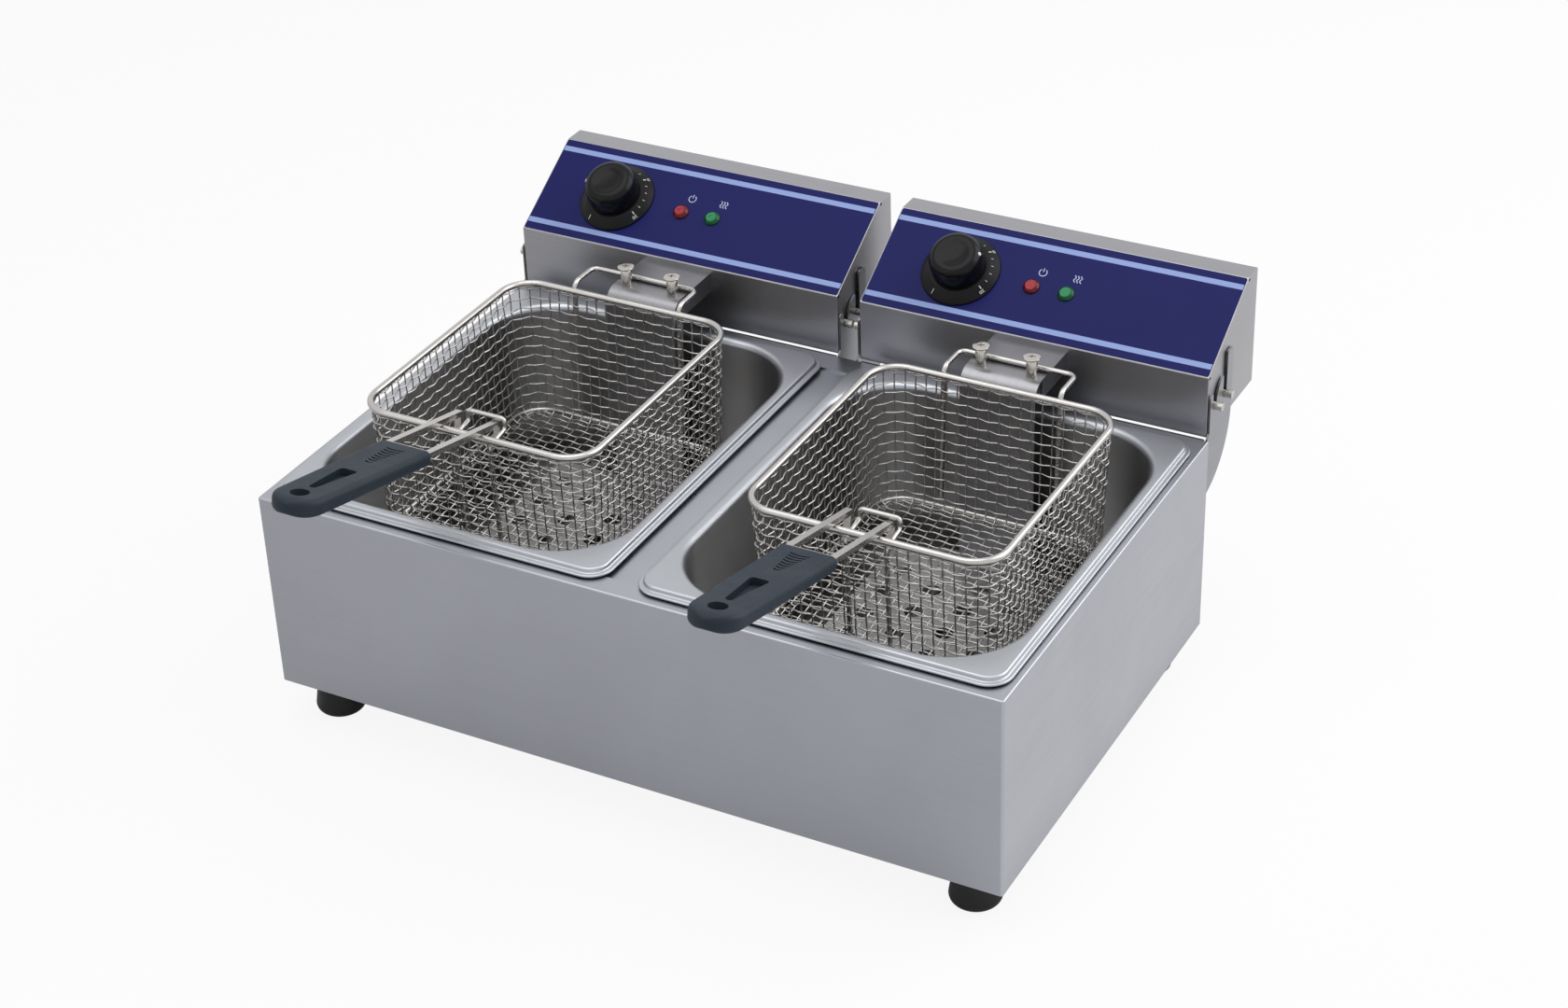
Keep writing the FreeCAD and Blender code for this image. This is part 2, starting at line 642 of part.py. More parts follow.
def control_label():
    """Printed label over the whole slope."""
    half = HEAD_W / 2 - LABEL_EDGE
    plate = box(-half, half, LABEL_EDGE, SLOPE_L - LABEL_EDGE, 0, LABEL_T)
    plate = plate.cut(Part.makeCylinder(SPINDLE_R + 1, 2, Vector(KNOB_X, KNOB_UP, -1)))
    for x in LAMP_XS:
        plate = plate.cut(Part.makeCylinder(LAMP_R + RUNNING_GAP, 2, Vector(x, LAMP_UP, -1)))
    plate.Placement = FreeCAD.Placement(on_slope(0, 0, 0), FreeCAD.Rotation(X_AXIS, SLOPE_ANGLE))
    return plate


def dial_bezel():
    """Fixed cone round the knob that carries the dial's marks."""
    bore = SPINDLE_R + 1
    outline = [(bore, 0), (DIAL_R, 0), (DIAL_R, 1), (DIAL_TOP_R, DIAL_H), (bore, DIAL_H)]
    return turned(outline, on_slope(KNOB_X, KNOB_UP, LABEL_T), SLOPE_OUT)


def knob():
    """Round cap with a dished top and a blind bore for the spindle."""
    base = LABEL_T + DIAL_H + SEAT_GAP
    cone = Part.makeCone(KNOB_BASE_R, KNOB_TOP_R, KNOB_H)
    cone = cone.makeFillet(KNOB_EDGE_R, edges_where(cone, lambda p: p.z > KNOB_H - 0.01))
    ball_r = (KNOB_DISH_R ** 2 + KNOB_DISH ** 2) / (2 * KNOB_DISH)
    dish = Part.makeSphere(ball_r, Vector(0, 0, KNOB_H + ball_r - KNOB_DISH))
    cap = cone.cut(dish).cut(Part.makeCylinder(SPINDLE_R, SPINDLE_GRIP))
    cap.Placement = FreeCAD.Placement(on_slope(KNOB_X, KNOB_UP, base), FreeCAD.Rotation(Z_AXIS, SLOPE_OUT))
    return cap


def thermostat_spindle():
    """Spindle that turns with the knob and reaches into the thermostat."""
    top = LABEL_T + DIAL_H + SEAT_GAP + SPINDLE_GRIP
    foot = -HEAD_SHEET - SPINDLE_TAIL
    return slope_cylinder(KNOB_X, KNOB_UP, foot, SPINDLE_R, top - foot)


def lamp(x):
    """Signal lamp: a domed lens with a rim on the label and a body behind the slope."""
    outline = [(0, -LAMP_BODY), (LAMP_R, -LAMP_BODY), (LAMP_R, LABEL_T), (LAMP_RIM_R, LABEL_T),
               (LAMP_RIM_R, LABEL_T + LAMP_RIM_H * 0.5), (LAMP_R, LABEL_T + LAMP_RIM_H),
               (0.6 * LAMP_R, LABEL_T + LAMP_RIM_H + 0.7 * LAMP_DOME), (0, LABEL_T + LAMP_RIM_H + LAMP_DOME)]
    return turned(outline, on_slope(x, LAMP_UP, 0), SLOPE_OUT)


def power_lamp():
    """Left lamp."""
    return lamp(LAMP_XS[0])


def heat_lamp():
    """Right lamp."""
    return lamp(LAMP_XS[1])


# Hood, posts, element and guard

def hood_outline(inset):
    """Closed (y, z) outline of the space under the hood's sheet, drawn in by an inset."""
    r = HOOD_BEND_R - inset
    top, front = HOOD_TOP - inset, SHIELD_FRONT + inset
    k = r * (1 - math.sqrt(0.5))
    bottom = SHIELD_BOTTOM - inset
    back = HEAD_FRONT
    corner = [Vector(0, front + r, top), Vector(0, front + k, top - k), Vector(0, front, top - r)]
    return Part.Wire([Part.LineSegment(Vector(0, back, top), corner[0]).toShape(),
                      Part.Arc(*corner).toShape(),
                      Part.LineSegment(corner[2], Vector(0, front, bottom)).toShape(),
                      Part.LineSegment(Vector(0, front, bottom), Vector(0, back, bottom)).toShape(),
                      Part.LineSegment(Vector(0, back, bottom), Vector(0, back, top)).toShape()])


def element_hood():
    """Bent sheet over the element's legs: a flat top with folded sides, a round front and a shield."""
    half = HOOD_W / 2
    outer = Part.Face(hood_outline(0)).extrude(Vector(HOOD_W, 0, 0))
    inner = Part.Face(hood_outline(HEAD_SHEET)).extrude(Vector(HOOD_W, 0, 0))
    sheet = outer.cut(inner).translated(Vector(-half, 0, 0))
    top = HOOD_TOP - HEAD_SHEET
    front, low = SHIELD_FRONT + HOOD_BEND_R, top - HOOD_SIDE_H
    edge = [(HEAD_FRONT, top), (front, top), (front, low), (HEAD_FRONT, low)]
    sides = [side_prism(edge, -half, -half + HEAD_SHEET), side_prism(edge, half - HEAD_SHEET, half)]
    hood = sheet.fuse(sides).removeSplitter()
    for x in (-POST_X, POST_X):
        hood = hood.cut(Part.makeCylinder(POST_SCREW_R + RUNNING_GAP, 10, Vector(x, POST_Y, HOOD_TOP - 5)))
    return hood


def hook_posts():
    """Two sleeves held on the hood by truss-head screws; the basket's hook drops behind them."""
    solids = []
    for x in (-POST_X, POST_X):
        sleeve = Part.makeCylinder(POST_R, POST_H, Vector(x, POST_Y, HOOD_TOP))
        bore = Part.makeCylinder(POST_SCREW_R + RUNNING_GAP, POST_H, Vector(x, POST_Y, HOOD_TOP))
        solids.append(sleeve.cut(bore))
        seat = Vector(x, POST_Y, HOOD_TOP + POST_H)
        shank = POST_H + HEAD_SHEET + POST_SCREW_R
        solids.append(screw(seat, Z_AXIS, POST_HEAD_R, POST_HEAD_H, POST_SCREW_R, shank))
    return Part.makeCompound(solids)


def heating_element():
    """Tube that leaves the head, drops behind the shield and loops over the tank floor."""
    front = ELEMENT_BACK - ELEMENT_REACH
    turn_in = ELEMENT_BACK - 2 * ELEMENT_BEND_R - 3 * ELEMENT_R
    start = HEAD_FRONT + ELEMENT_TAIL
    half = [(ELEMENT_LEG_X, start, ELEMENT_LEG_Z), (ELEMENT_LEG_X, ELEMENT_BACK, ELEMENT_LEG_Z),
            (ELEMENT_LEG_X, ELEMENT_BACK, ELEMENT_Z), (ELEMENT_LOOP_X, ELEMENT_BACK, ELEMENT_Z),
            (ELEMENT_LOOP_X, front, ELEMENT_Z), (ELEMENT_INNER_X, front, ELEMENT_Z),
            (ELEMENT_INNER_X, turn_in, ELEMENT_Z)]
    points = [Vector(*p) for p in half]
    points += [Vector(-p.x, p.y, p.z) for p in reversed(points)]
    return round_wire(points, ELEMENT_R, ELEMENT_BEND_R)


def guard_plate():
    """Perforated plate over the element, with a turned-up edge that hangs on the shield."""
    back = SHIELD_FRONT + HEAD_SHEET
    front = back - GUARD_L
    half = GUARD_W / 2
    z0 = GUARD_Z
    outline = Part.makePolygon([Vector(x, y, z0) for x, y in ((-half, front), (half, front), (half, back),
                                                              (-half, back), (-half, front))])
    columns = int((half - GUARD_MARGIN) // GUARD_PITCH_X)
    holes = []
    for column in range(-columns, columns + 1):
        y = back - GUARD_MARGIN - (GUARD_PITCH_Y if column % 2 else GUARD_PITCH_Y / 2)
        while y > front + GUARD_MARGIN:
            centre = Vector(column * GUARD_PITCH_X, y, z0)
            holes.append(Part.Wire(Part.Circle(centre, Z_AXIS, GUARD_HOLE_R).toShape()))
            y -= GUARD_PITCH_Y
    plate = Part.Face([outline] + holes, "Part::FaceMakerBullseye").extrude(Vector(0, 0, GUARD_T))
    tab = box(-HOOD_W / 2, HOOD_W / 2, back, back + GUARD_T, z0, SHIELD_BOTTOM + GUARD_FLANGE)
    return plate.fuse(tab).removeSplitter()


# Parts inside the head

def thermostat():
    """Capillary thermostat under the knob, with its bulb behind the shield."""
    low = -HEAD_SHEET - THERMOSTAT_T
    body = box(-THERMOSTAT_W / 2, THERMOSTAT_W / 2, -THERMOSTAT_L / 2, THERMOSTAT_L / 2, low, -HEAD_SHEET)
    socket = Vector(0, 0, -HEAD_SHEET - SPINDLE_TAIL)
    body = body.cut(Part.makeCylinder(SPINDLE_R + RUNNING_GAP, THERMOSTAT_T, socket))
    body.Placement = FreeCAD.Placement(on_slope(KNOB_X, KNOB_UP, 0), FreeCAD.Rotation(X_AXIS, SLOPE_ANGLE))
    inset = 4 * CAPILLARY_R
    start = on_slope(KNOB_X + THERMOSTAT_W / 2 - inset, KNOB_UP - THERMOSTAT_L / 2 + inset, low + inset)
    bulb_y = ELEMENT_BACK + ELEMENT_R + BULB_R + SEAT_GAP
    end = Vector(BULB_X, bulb_y, ELEMENT_LEG_Z - BULB_L / 2)
    points = [start, Vector(start.x, start.y, ELEMENT_LEG_Z), Vector(BULB_X, start.y, ELEMENT_LEG_Z),
              Vector(BULB_X, bulb_y, ELEMENT_LEG_Z), end]
    tube = round_wire(points, CAPILLARY_R, 4 * CAPILLARY_R)
    bulb = Part.makeCylinder(BULB_R, BULB_L, end - Vector(0, 0, BULB_L))
    return body.fuse([tube, bulb]).removeSplitter()


def cutout():
    """Over-heat cut-out on the inside of the back cover."""
    seat = Vector(CUTOUT_X, HEAD_BACK - HEAD_SHEET - CUTOUT_T, HEAD_BOTTOM + GLAND_UP)
    return Part.makeCylinder(CUTOUT_R, CUTOUT_T, seat, Y_AXIS)


def terminal_block():
    """Terminal block on the head's floor, with a groove between the poles."""
    z0 = HEAD_BOTTOM + HEAD_SHEET
    y0 = HEAD_FRONT + TERMINAL_BACK
    x0 = TERMINAL_X - TERMINAL_W / 2
    block = box(x0, x0 + TERMINAL_W, y0, y0 + TERMINAL_D, z0, z0 + TERMINAL_H)
    pitch = TERMINAL_W / 3
    for pole in (1, 2):
        x = x0 + pole * pitch
        block = block.cut(box(x - 1, x + 1, y0, y0 + TERMINAL_D, z0 + TERMINAL_H / 2, z0 + TERMINAL_H))
    return block


def cable_gland():
    """Gland for the mains cord in the back cover."""
    base = Vector(GLAND_X, HEAD_BACK, HEAD_BOTTOM + GLAND_UP)
    inner = -HEAD_SHEET - GLAND_IN
    outline = [(GLAND_BORE_R, inner), (GLAND_THREAD_R, inner), (GLAND_THREAD_R, 0), (GLAND_R, 0),
               (GLAND_R, 0.6 * GLAND_OUT), (GLAND_THREAD_R, GLAND_OUT), (GLAND_BORE_R, GLAND_OUT)]
    return turned(outline, base, Y_AXIS)


def pivot_pins():
    """Two pins on each end panel of the head that drop into the bracket's slots."""
    half = HEAD_W / 2
    solids = []
    for y in (PIVOT_Y - PIN_PITCH, PIVOT_Y):
        solids.append(Part.makeCylinder(PIN_R, PIN_STICKOUT, Vector(half, y, PIVOT_Z), X_AXIS))
        solids.append(Part.makeCylinder(PIN_R, PIN_STICKOUT, Vector(-half, y, PIVOT_Z), -X_AXIS))
    return Part.makeCompound(solids)


# Basket

def basket_loop(z, inset):
    """Corner points of the basket's plan at a height, with each round corner cut into flats."""
    x, y = RIM_W / 2 - inset, RIM_L / 2 - inset
    r = BASKET_CORNER_R
    points = []
    for quarter, (sx, sy) in enumerate(((1, -1), (1, 1), (-1, 1), (-1, -1))):
        for step in range(CORNER_FACETS + 1):
            a = math.radians(90 * (quarter - 1) + 90 * step / CORNER_FACETS)
            points.append(Vector(sx * (x - r) + r * math.cos(a), RIM_Y + sy * (y - r) + r * math.sin(a), z))
    return points


def net(corners, thickness):
    """Flat net on a four-sided panel: one holed face, made solid on both sides of its plane."""
    a, b, c, d = corners
    columns = max(1, round((b - a).Length / MESH_PITCH))
    rows = max(1, round((d - a).Length / MESH_PITCH))
    wide, tall = MESH_WIRE / 2 / (b - a).Length, MESH_WIRE / 2 / (d - a).Length

    def at(u, v):
        return (a * (1 - u) + b * u) * (1 - v) + (d * (1 - u) + c * u) * v

    holes = []
    for i in range(columns):
        for j in range(rows):
            u0, u1 = i / columns + wide, (i + 1) / columns - wide
            v0, v1 = j / rows + tall, (j + 1) / rows - tall
            ring = [at(u0, v0), at(u1, v0), at(u1, v1), at(u0, v1), at(u0, v0)]
            holes.append(Part.makePolygon(ring))
    normal = (b - a).cross(d - a).normalize()
    face = Part.Face([Part.makePolygon([a, b, c, d, a])] + holes, "Part::FaceMakerBullseye")
    return face.translated(normal * (-thickness / 2)).extrude(normal * thickness)


def basket_mesh():
    """Nets of the basket's walls and floor."""
    high = basket_loop(MESH_TOP, wall_inset(MESH_TOP))
    low = basket_loop(MESH_BOTTOM, wall_inset(MESH_BOTTOM))
    count = len(high)
    nets = []
    for i in range(count):
        j = (i + 1) % count
        side = (high[j] - high[i]).normalize() * (MESH_WIRE / 2)
        nets.append(net([low[i] + side, low[j] - side, high[j] - side, high[i] + side], MESH_WIRE))
    floor = basket_loop(NET_TOP - MESH_WIRE / 2, BASKET_TAPER)
    nets.append(floor_net(floor))
    return Part.makeCompound(nets)


def floor_net(outline):
    """Flat net of the floor: square gaps wherever a whole gap fits inside the outline."""
    half_x, half_y = RIM_W / 2 - BASKET_TAPER, RIM_L / 2 - BASKET_TAPER
    columns, rows = round(2 * half_x / MESH_PITCH), round(2 * half_y / MESH_PITCH)
    step_x, step_y = 2 * half_x / columns, 2 * half_y / rows
    r, gap = BASKET_CORNER_R, MESH_WIRE / 2
    z = outline[0].z
    holes = []

    def inside(x, y):
        dx, dy = max(abs(x) - half_x + r, 0), max(abs(y) - half_y + r, 0)
        return math.hypot(dx, dy) < r * math.cos(math.pi / 4 / CORNER_FACETS) - gap

    for i in range(columns):
        for j in range(rows):
            x0, y0 = -half_x + i * step_x + gap, -half_y + j * step_y + gap
            x1, y1 = x0 + step_x - 2 * gap, y0 + step_y - 2 * gap
            ring = [(x0, y0), (x1, y0), (x1, y1), (x0, y1)]
            if all(inside(x, y) for x, y in ring):
                holes.append(Part.makePolygon([Vector(x, RIM_Y + y, z) for x, y in ring + ring[:1]]))
    face = Part.Face([Part.makePolygon(outline + outline[:1])] + holes, "Part::FaceMakerBullseye")
    return face.translated(Vector(0, 0, -MESH_WIRE / 2)).extrude(Vector(0, 0, MESH_WIRE))


def wall_inset(z):
    """How far the basket's wall has drawn in at a height."""
    return BASKET_TAPER * (RIM_Z - z) / BASKET_H


def basket_rim():
    """Thick wire round the top of the basket."""
    return ring_wire(RIM_W, RIM_L, BASKET_CORNER_R, RIM_WIRE_R, RIM_Y, RIM_Z)


def basket_frame():
    """Ring under the walls, and the cranked bridge wire behind the front wall that holds the handle."""
    inset = 2 * BASKET_TAPER
    ring = ring_wire(RIM_W - inset, RIM_L - inset, BASKET_CORNER_R, RING_WIRE_R, RIM_Y, RING_Z)
    stand = MESH_WIRE / 2 + WELD_GAP + RING_WIRE_R
    low, high = MESH_BOTTOM + WIRE_FOOT, MESH_TOP - 2 * RIM_WIRE_R

    def wall_y(z):
        return RIM_FRONT + wall_inset(z) + stand

    half = [(-BRIDGE_X, wall_y(low), low), (-BRIDGE_X, wall_y(high), high),
            (-BRIDGE_X, BRIDGE_Y, RIM_Z - BRIDGE_DIP), (-BRIDGE_X, BRIDGE_Y, BRIDGE_Z)]
    points = [Vector(*p) for p in half]
    points += [Vector(-p.x, p.y, p.z) for p in reversed(points)]
    return Part.makeCompound([ring, round_wire(points, RING_WIRE_R, BRIDGE_BEND_R)])


def basket_hook():
    """Wire up the rear wall that bends back over the hood and drops behind the posts."""
    low = MESH_BOTTOM + WIRE_FOOT
    low_y = RIM_BACK - wall_inset(low) + MESH_WIRE / 2 + WELD_GAP + HOOK_WIRE_R
    high_y = RIM_BACK + RIM_WIRE_R + WELD_GAP + HOOK_WIRE_R
    half = [(-HOOK_X, low_y, low), (-HOOK_X, high_y, HOOK_Z), (-HOOK_X, HOOK_Y, HOOK_Z)]
    points = [Vector(*p) for p in half]
    points += [Vector(-p.x, p.y, p.z) for p in reversed(points)]
    return round_wire(points, HOOK_WIRE_R, HOOK_BEND_R)


# Handle, drawn level about the rim wire and then tilted up

def tilted(shape):
    """Turn a level handle piece up about the front rim wire."""
    solid = shape.copy()
    solid.Placement = FreeCAD.Placement(Vector(HANDLE_X, RIM_FRONT, RIM_Z), FreeCAD.Rotation(X_AXIS, -HANDLE_ANGLE))
    return solid


def level_rods(gap):
    """The two flat bars, level, grown by a gap, with their inner ends bent down."""
    bars = []
    for x in (-ROD_X, ROD_X):
        w = ROD_W / 2 + gap
        outer_end = -ROD_FREE - ROD_BURIED - gap
        bar = box(x - w, x + w, outer_end, ROD_IN, ROD_BOTTOM - gap, ROD_BOTTOM + ROD_T + gap)
        hook = box(x - w, x + w, ROD_IN - ROD_T, ROD_IN, ROD_BOTTOM - ROD_HOOK, ROD_BOTTOM + ROD_T / 2)
        solid = bar.fuse(hook).removeSplitter()
        outer = edges_where(solid, lambda p: p.y > ROD_IN - 0.01 and p.z > ROD_BOTTOM + ROD_T + gap - 0.01)
        bars.append(solid.makeFillet(0.6 * ROD_T, outer))
    return bars


def handle_rods():
    """Two flat bars over the rim, one of them under the bridge wire, tied by a strip in front of the grip."""
    left, right = level_rods(0)
    half = ROD_X + ROD_W / 2
    tie = box(-half, half, -ROD_FREE, -ROD_FREE + ROD_TIE, ROD_BOTTOM, ROD_BOTTOM + ROD_T)
    return tilted(left.fuse([right, tie]).removeSplitter())


def handle_grip():
    """Moulded grip with a round end, a hanging hole and a sunk keyhole."""
    start, end = -ROD_FREE, -ROD_FREE - GRIP_L
    half, tip = GRIP_W / 2, GRIP_END_W / 2
    z0 = ROD_BOTTOM + ROD_T + GRIP_COVER - GRIP_T
    nose = end + tip
    path = [Part.LineSegment(Vector(-half, start, z0), Vector(half, start, z0)).toShape(),
            Part.LineSegment(Vector(half, start, z0), Vector(tip, nose, z0)).toShape(),
            Part.Arc(Vector(tip, nose, z0), Vector(0, end, z0), Vector(-tip, nose, z0)).toShape(),
            Part.LineSegment(Vector(-tip, nose, z0), Vector(-half, start, z0)).toShape()]
    grip = Part.Face(Part.Wire(path)).extrude(Vector(0, 0, GRIP_T))
    grip = grip.makeFillet(GRIP_EDGE_R, grip.Edges)
    hang_hole = Vector(0, end + HANG_HOLE_IN, z0 - GRIP_T / 2)
    grip = grip.cut(Part.makeCylinder(HANG_HOLE_R, 2 * GRIP_T, hang_hole))
    wide, narrow = end + KEY_START + KEY_LENGTH, end + KEY_START
    top = z0 + GRIP_T
    key = Part.makeCylinder(KEY_WIDE_R, KEY_DEPTH + 1, Vector(0, wide, top - KEY_DEPTH))
    key = key.fuse(Part.makeCylinder(KEY_NARROW_R, KEY_DEPTH + 1, Vector(0, narrow, top - KEY_DEPTH)))
    taper = [Vector(-KEY_WIDE_R, wide, top - KEY_DEPTH), Vector(KEY_WIDE_R, wide, top - KEY_DEPTH),
             Vector(KEY_NARROW_R, narrow, top - KEY_DEPTH), Vector(-KEY_NARROW_R, narrow, top - KEY_DEPTH)]
    key = key.fuse(Part.Face(Part.makePolygon(taper + taper[:1])).extrude(Vector(0, 0, KEY_DEPTH + 1)))
    grip = grip.cut(key)
    for bar in level_rods(RUNNING_GAP):
        grip = grip.cut(bar)
    return tilted(grip)


ROOT_PIECES = (casing_wrap, back_panel, base_plate, rear_deck, centre_strip, feet, foot_screws, casing_screws)
UNIT_PIECES = (head_bracket, tank, head_cover, head_side_panels, head_back_cover, control_label, dial_bezel,
               knob, thermostat_spindle, power_lamp, heat_lamp, element_hood, hook_posts, heating_element,
               guard_plate, thermostat, cutout, terminal_block, cable_gland, pivot_pins, basket_mesh,
               basket_rim, basket_frame, basket_hook, handle_rods, handle_grip)
HUNG_PIECES = (basket_mesh, basket_rim, basket_frame, basket_hook, handle_rods, handle_grip)
SIDES = {"left": (-UNIT_X, LEFT_DRIFT), "right": (UNIT_X, RIGHT_DRIFT)}


def main():
    """Write one file per piece."""
    os.makedirs("parts", exist_ok=True)
    for piece in ROOT_PIECES:
        piece().translated(Vector(0, SETBACK, 0)).exportStep("parts/%s.step" % piece.__name__)
    for piece in UNIT_PIECES:
        shape = piece()
        for side, (x, drift) in SIDES.items():
            place = x + drift if piece in HUNG_PIECES else x
            shape.translated(Vector(place, SETBACK, 0)).exportStep("parts/%s_%s.step" % (side, piece.__name__))


main()
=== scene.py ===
"""Looks of the twin-tank countertop fryer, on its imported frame, laid out as an add-on.

Every piece is worked out in metres in the frame's own axes: X to the right, Y to the back, Z up.
"""
import json
import math

import bmesh
import bpy
import numpy as np
from mathutils import Matrix, Vector


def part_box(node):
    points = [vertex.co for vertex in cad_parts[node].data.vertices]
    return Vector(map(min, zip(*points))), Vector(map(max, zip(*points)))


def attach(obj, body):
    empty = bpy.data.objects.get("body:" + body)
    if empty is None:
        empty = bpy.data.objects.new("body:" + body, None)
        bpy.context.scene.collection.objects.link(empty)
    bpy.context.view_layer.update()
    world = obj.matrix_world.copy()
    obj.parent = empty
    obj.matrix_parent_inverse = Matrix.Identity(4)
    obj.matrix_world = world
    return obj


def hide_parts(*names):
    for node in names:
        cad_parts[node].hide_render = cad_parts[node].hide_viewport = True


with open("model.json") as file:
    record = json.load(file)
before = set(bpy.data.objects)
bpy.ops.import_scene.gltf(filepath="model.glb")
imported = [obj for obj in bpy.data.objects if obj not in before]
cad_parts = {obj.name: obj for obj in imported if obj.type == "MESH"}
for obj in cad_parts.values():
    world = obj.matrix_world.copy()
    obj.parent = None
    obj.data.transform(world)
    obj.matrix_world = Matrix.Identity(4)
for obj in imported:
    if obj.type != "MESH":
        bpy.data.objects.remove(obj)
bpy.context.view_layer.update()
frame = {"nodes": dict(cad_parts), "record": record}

bl_info = {
    "name": "Countertop Fryer Looks",
    "version": (1, 0, 0),
    "blender": (4, 5, 0),
    "location": "3D View > Sidebar > Fryer",
    "description": "Dresses the twin-tank fryer: steel, woven baskets, control heads, grips and studio",
    "category": "Object",
}

SIDES = ("left", "right")
IMAGE = (1680, 1080)
FOCAL_PIXELS = 3288.7
CAMERA_PLACE = (0.9045, -1.55595, 1.2774)
CAMERA_TURN = (29.0, 31.9, -2.1)


# Sizes read from the frame

def node_box(name):
    """Lowest and highest corner of a node, as arrays."""
    low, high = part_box(name)
    return np.array(low), np.array(high)


def joint_of(name):
    """A joint of the frame by name."""
    return next(j for j in frame["record"]["behaviour"]["joints"] if j["name"] == name)


def length(name, description, default):
    """A length that a user may change."""
    return bpy.props.FloatProperty(name=name, description=description, default=default, unit="LENGTH")


def colour(name, description, default):
    """A colour that a user may change."""
    return bpy.props.FloatVectorProperty(name=name, description=description, default=default, size=3,
                                         subtype="COLOR")


class FryerSizes(bpy.types.PropertyGroup):
    """Sizes that only the looks have."""

    weave_pitch: length("Weave pitch", "Distance between the basket's wires", 0.0081)
    weave_wire: length("Weave wire", "Radius of the basket's woven wires", 0.00054)
    mouth_roll: length("Mouth roll", "Radius of the tank's edge where the flange turns down", 0.005)
    fold: length("Fold", "Outside radius of the head's folds", 0.0016)


class FryerColours(bpy.types.PropertyGroup):
    """Colours of the finishes."""

    steel: colour("Casing steel", "Brushed sheet of the casing", (0.395, 0.405, 0.445))
    head: colour("Head steel", "Brushed sheet of the heads", (0.335, 0.335, 0.355))
    tank: colour("Tank steel", "Satin steel of the tanks", (0.43, 0.445, 0.475))
    wire: colour("Basket wire", "Plated wire of the baskets", (0.48, 0.465, 0.45))
    label: colour("Label", "Ground colour of the control label", (0.014, 0.0165, 0.117))
    stripe: colour("Stripe", "Stripes of the control label", (0.34, 0.44, 0.80))
    grip: colour("Grip", "Moulded grips", (0.018, 0.027, 0.040))
    black: colour("Black plastic", "Knobs, dials and glands", (0.0060, 0.0062, 0.0074))
    power: colour("Power lens", "Left signal lamp", (0.36, 0.008, 0.022))
    heat: colour("Heat lens", "Right signal lamp", (0.002, 0.24, 0.075))


def sizes():
    """The scene's sizes."""
    return bpy.context.scene.fryer_sizes


def colours():
    """The scene's colours."""
    return bpy.context.scene.fryer_colours


# Surfaces

def grid_faces(rows, columns, close_rows=False, close_columns=False):
    """Quads of a grid of rows by columns of points, each direction open or closed on itself."""
    i = np.arange(rows if close_rows else rows - 1)[:, None] * columns
    j = np.arange(columns if close_columns else columns - 1)[None, :]
    i2, j2 = (i + columns) % (rows * columns), (j + 1) % columns
    return np.stack(np.broadcast_arrays(i + j, i + j2, i2 + j2, i2 + j), axis=-1).reshape(-1, 4)


def make_piece(name, points, quads, material, caps=(), smooth=True, uv=None):
    """Mesh object from an array of points, an array of quads and a few capping polygons."""
    mesh = bpy.data.meshes.new(name)
    faces = quads.tolist() + [list(map(int, cap)) for cap in caps]
    mesh.from_pydata(points.reshape(-1, 3).tolist(), [], faces)
    mesh.update()
    mesh.shade_smooth() if smooth else mesh.shade_flat()
    if uv is not None:
        layer = mesh.uv_layers.new(name="UVMap")
        loops = np.empty(len(mesh.loops), dtype=np.int32)
        mesh.loops.foreach_get("vertex_index", loops)
        layer.data.foreach_set("uv", uv.reshape(-1, 2)[loops].astype(np.float32).ravel())
    mesh.materials.append(material)
    piece = bpy.data.objects.new(name, mesh)
    bpy.context.scene.collection.objects.link(piece)
    return piece


def finish_piece(piece, body, nodes=()):
    """Set a piece on its body and let it stand for its nodes."""
    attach(piece, body)
    if nodes:
        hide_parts(*nodes)
    return piece


def join_arrays(parts):
    """Points and quads of several grids as one pair of arrays."""
    points, quads, start = [], [], 0
    for p, q in parts:
        points.append(p.reshape(-1, 3))
        quads.append(q + start)
        start += len(points[-1])
    return np.concatenate(points), np.concatenate(quads)


def lathe(profile, centre, axis, segments=64):
    """Profile of (radius, height) points turned about an axis.

    centre + h * axis + r * (cos a * u + sin a * v), with u and v square to the axis.
    """
    w = np.array(axis, float) / np.linalg.norm(axis)
    u = np.cross(w, (1.0, 0.0, 0.0) if abs(w[0]) < 0.9 else (0.0, 1.0, 0.0))
    u /= np.linalg.norm(u)
    v = np.cross(w, u)
    a = np.linspace(0, 2 * math.pi, segments, endpoint=False)
    ring = np.cos(a)[:, None] * u + np.sin(a)[:, None] * v
    r, h = np.array(profile, float).T
    points = np.array(centre) + h[:, None, None] * w + r[:, None, None] * ring[None]
    return points, grid_faces(len(profile), segments, close_columns=True)


def ends_of(rows, columns):
    """First and last ring of a closed grid, as capping polygons that face outwards."""
    first = np.arange(columns)[::-1]
    return [first, (rows - 1) * columns + np.arange(columns)]


def make_rings(name, points, material, way=1, **look):
    """Piece through rows of closed rings, capped at both ends; way -1 turns its faces over."""
    rows, columns = points.shape[:2]
    quads = grid_faces(rows, columns, close_columns=True)[:, ::way]
    caps = [cap[::way] for cap in ends_of(rows, columns)]
    return make_piece(name, points, quads, material, caps, **look)


def make_turned(name, profile, centre, axis, segments, material):
    """Closed piece turned from a profile about an axis."""
    return make_rings(name, lathe(profile, centre, axis, segments)[0], material)


def unit(vectors):
    """Vectors along the last axis, each scaled to a length of one."""
    return vectors / np.linalg.norm(vectors, axis=-1, keepdims=True)


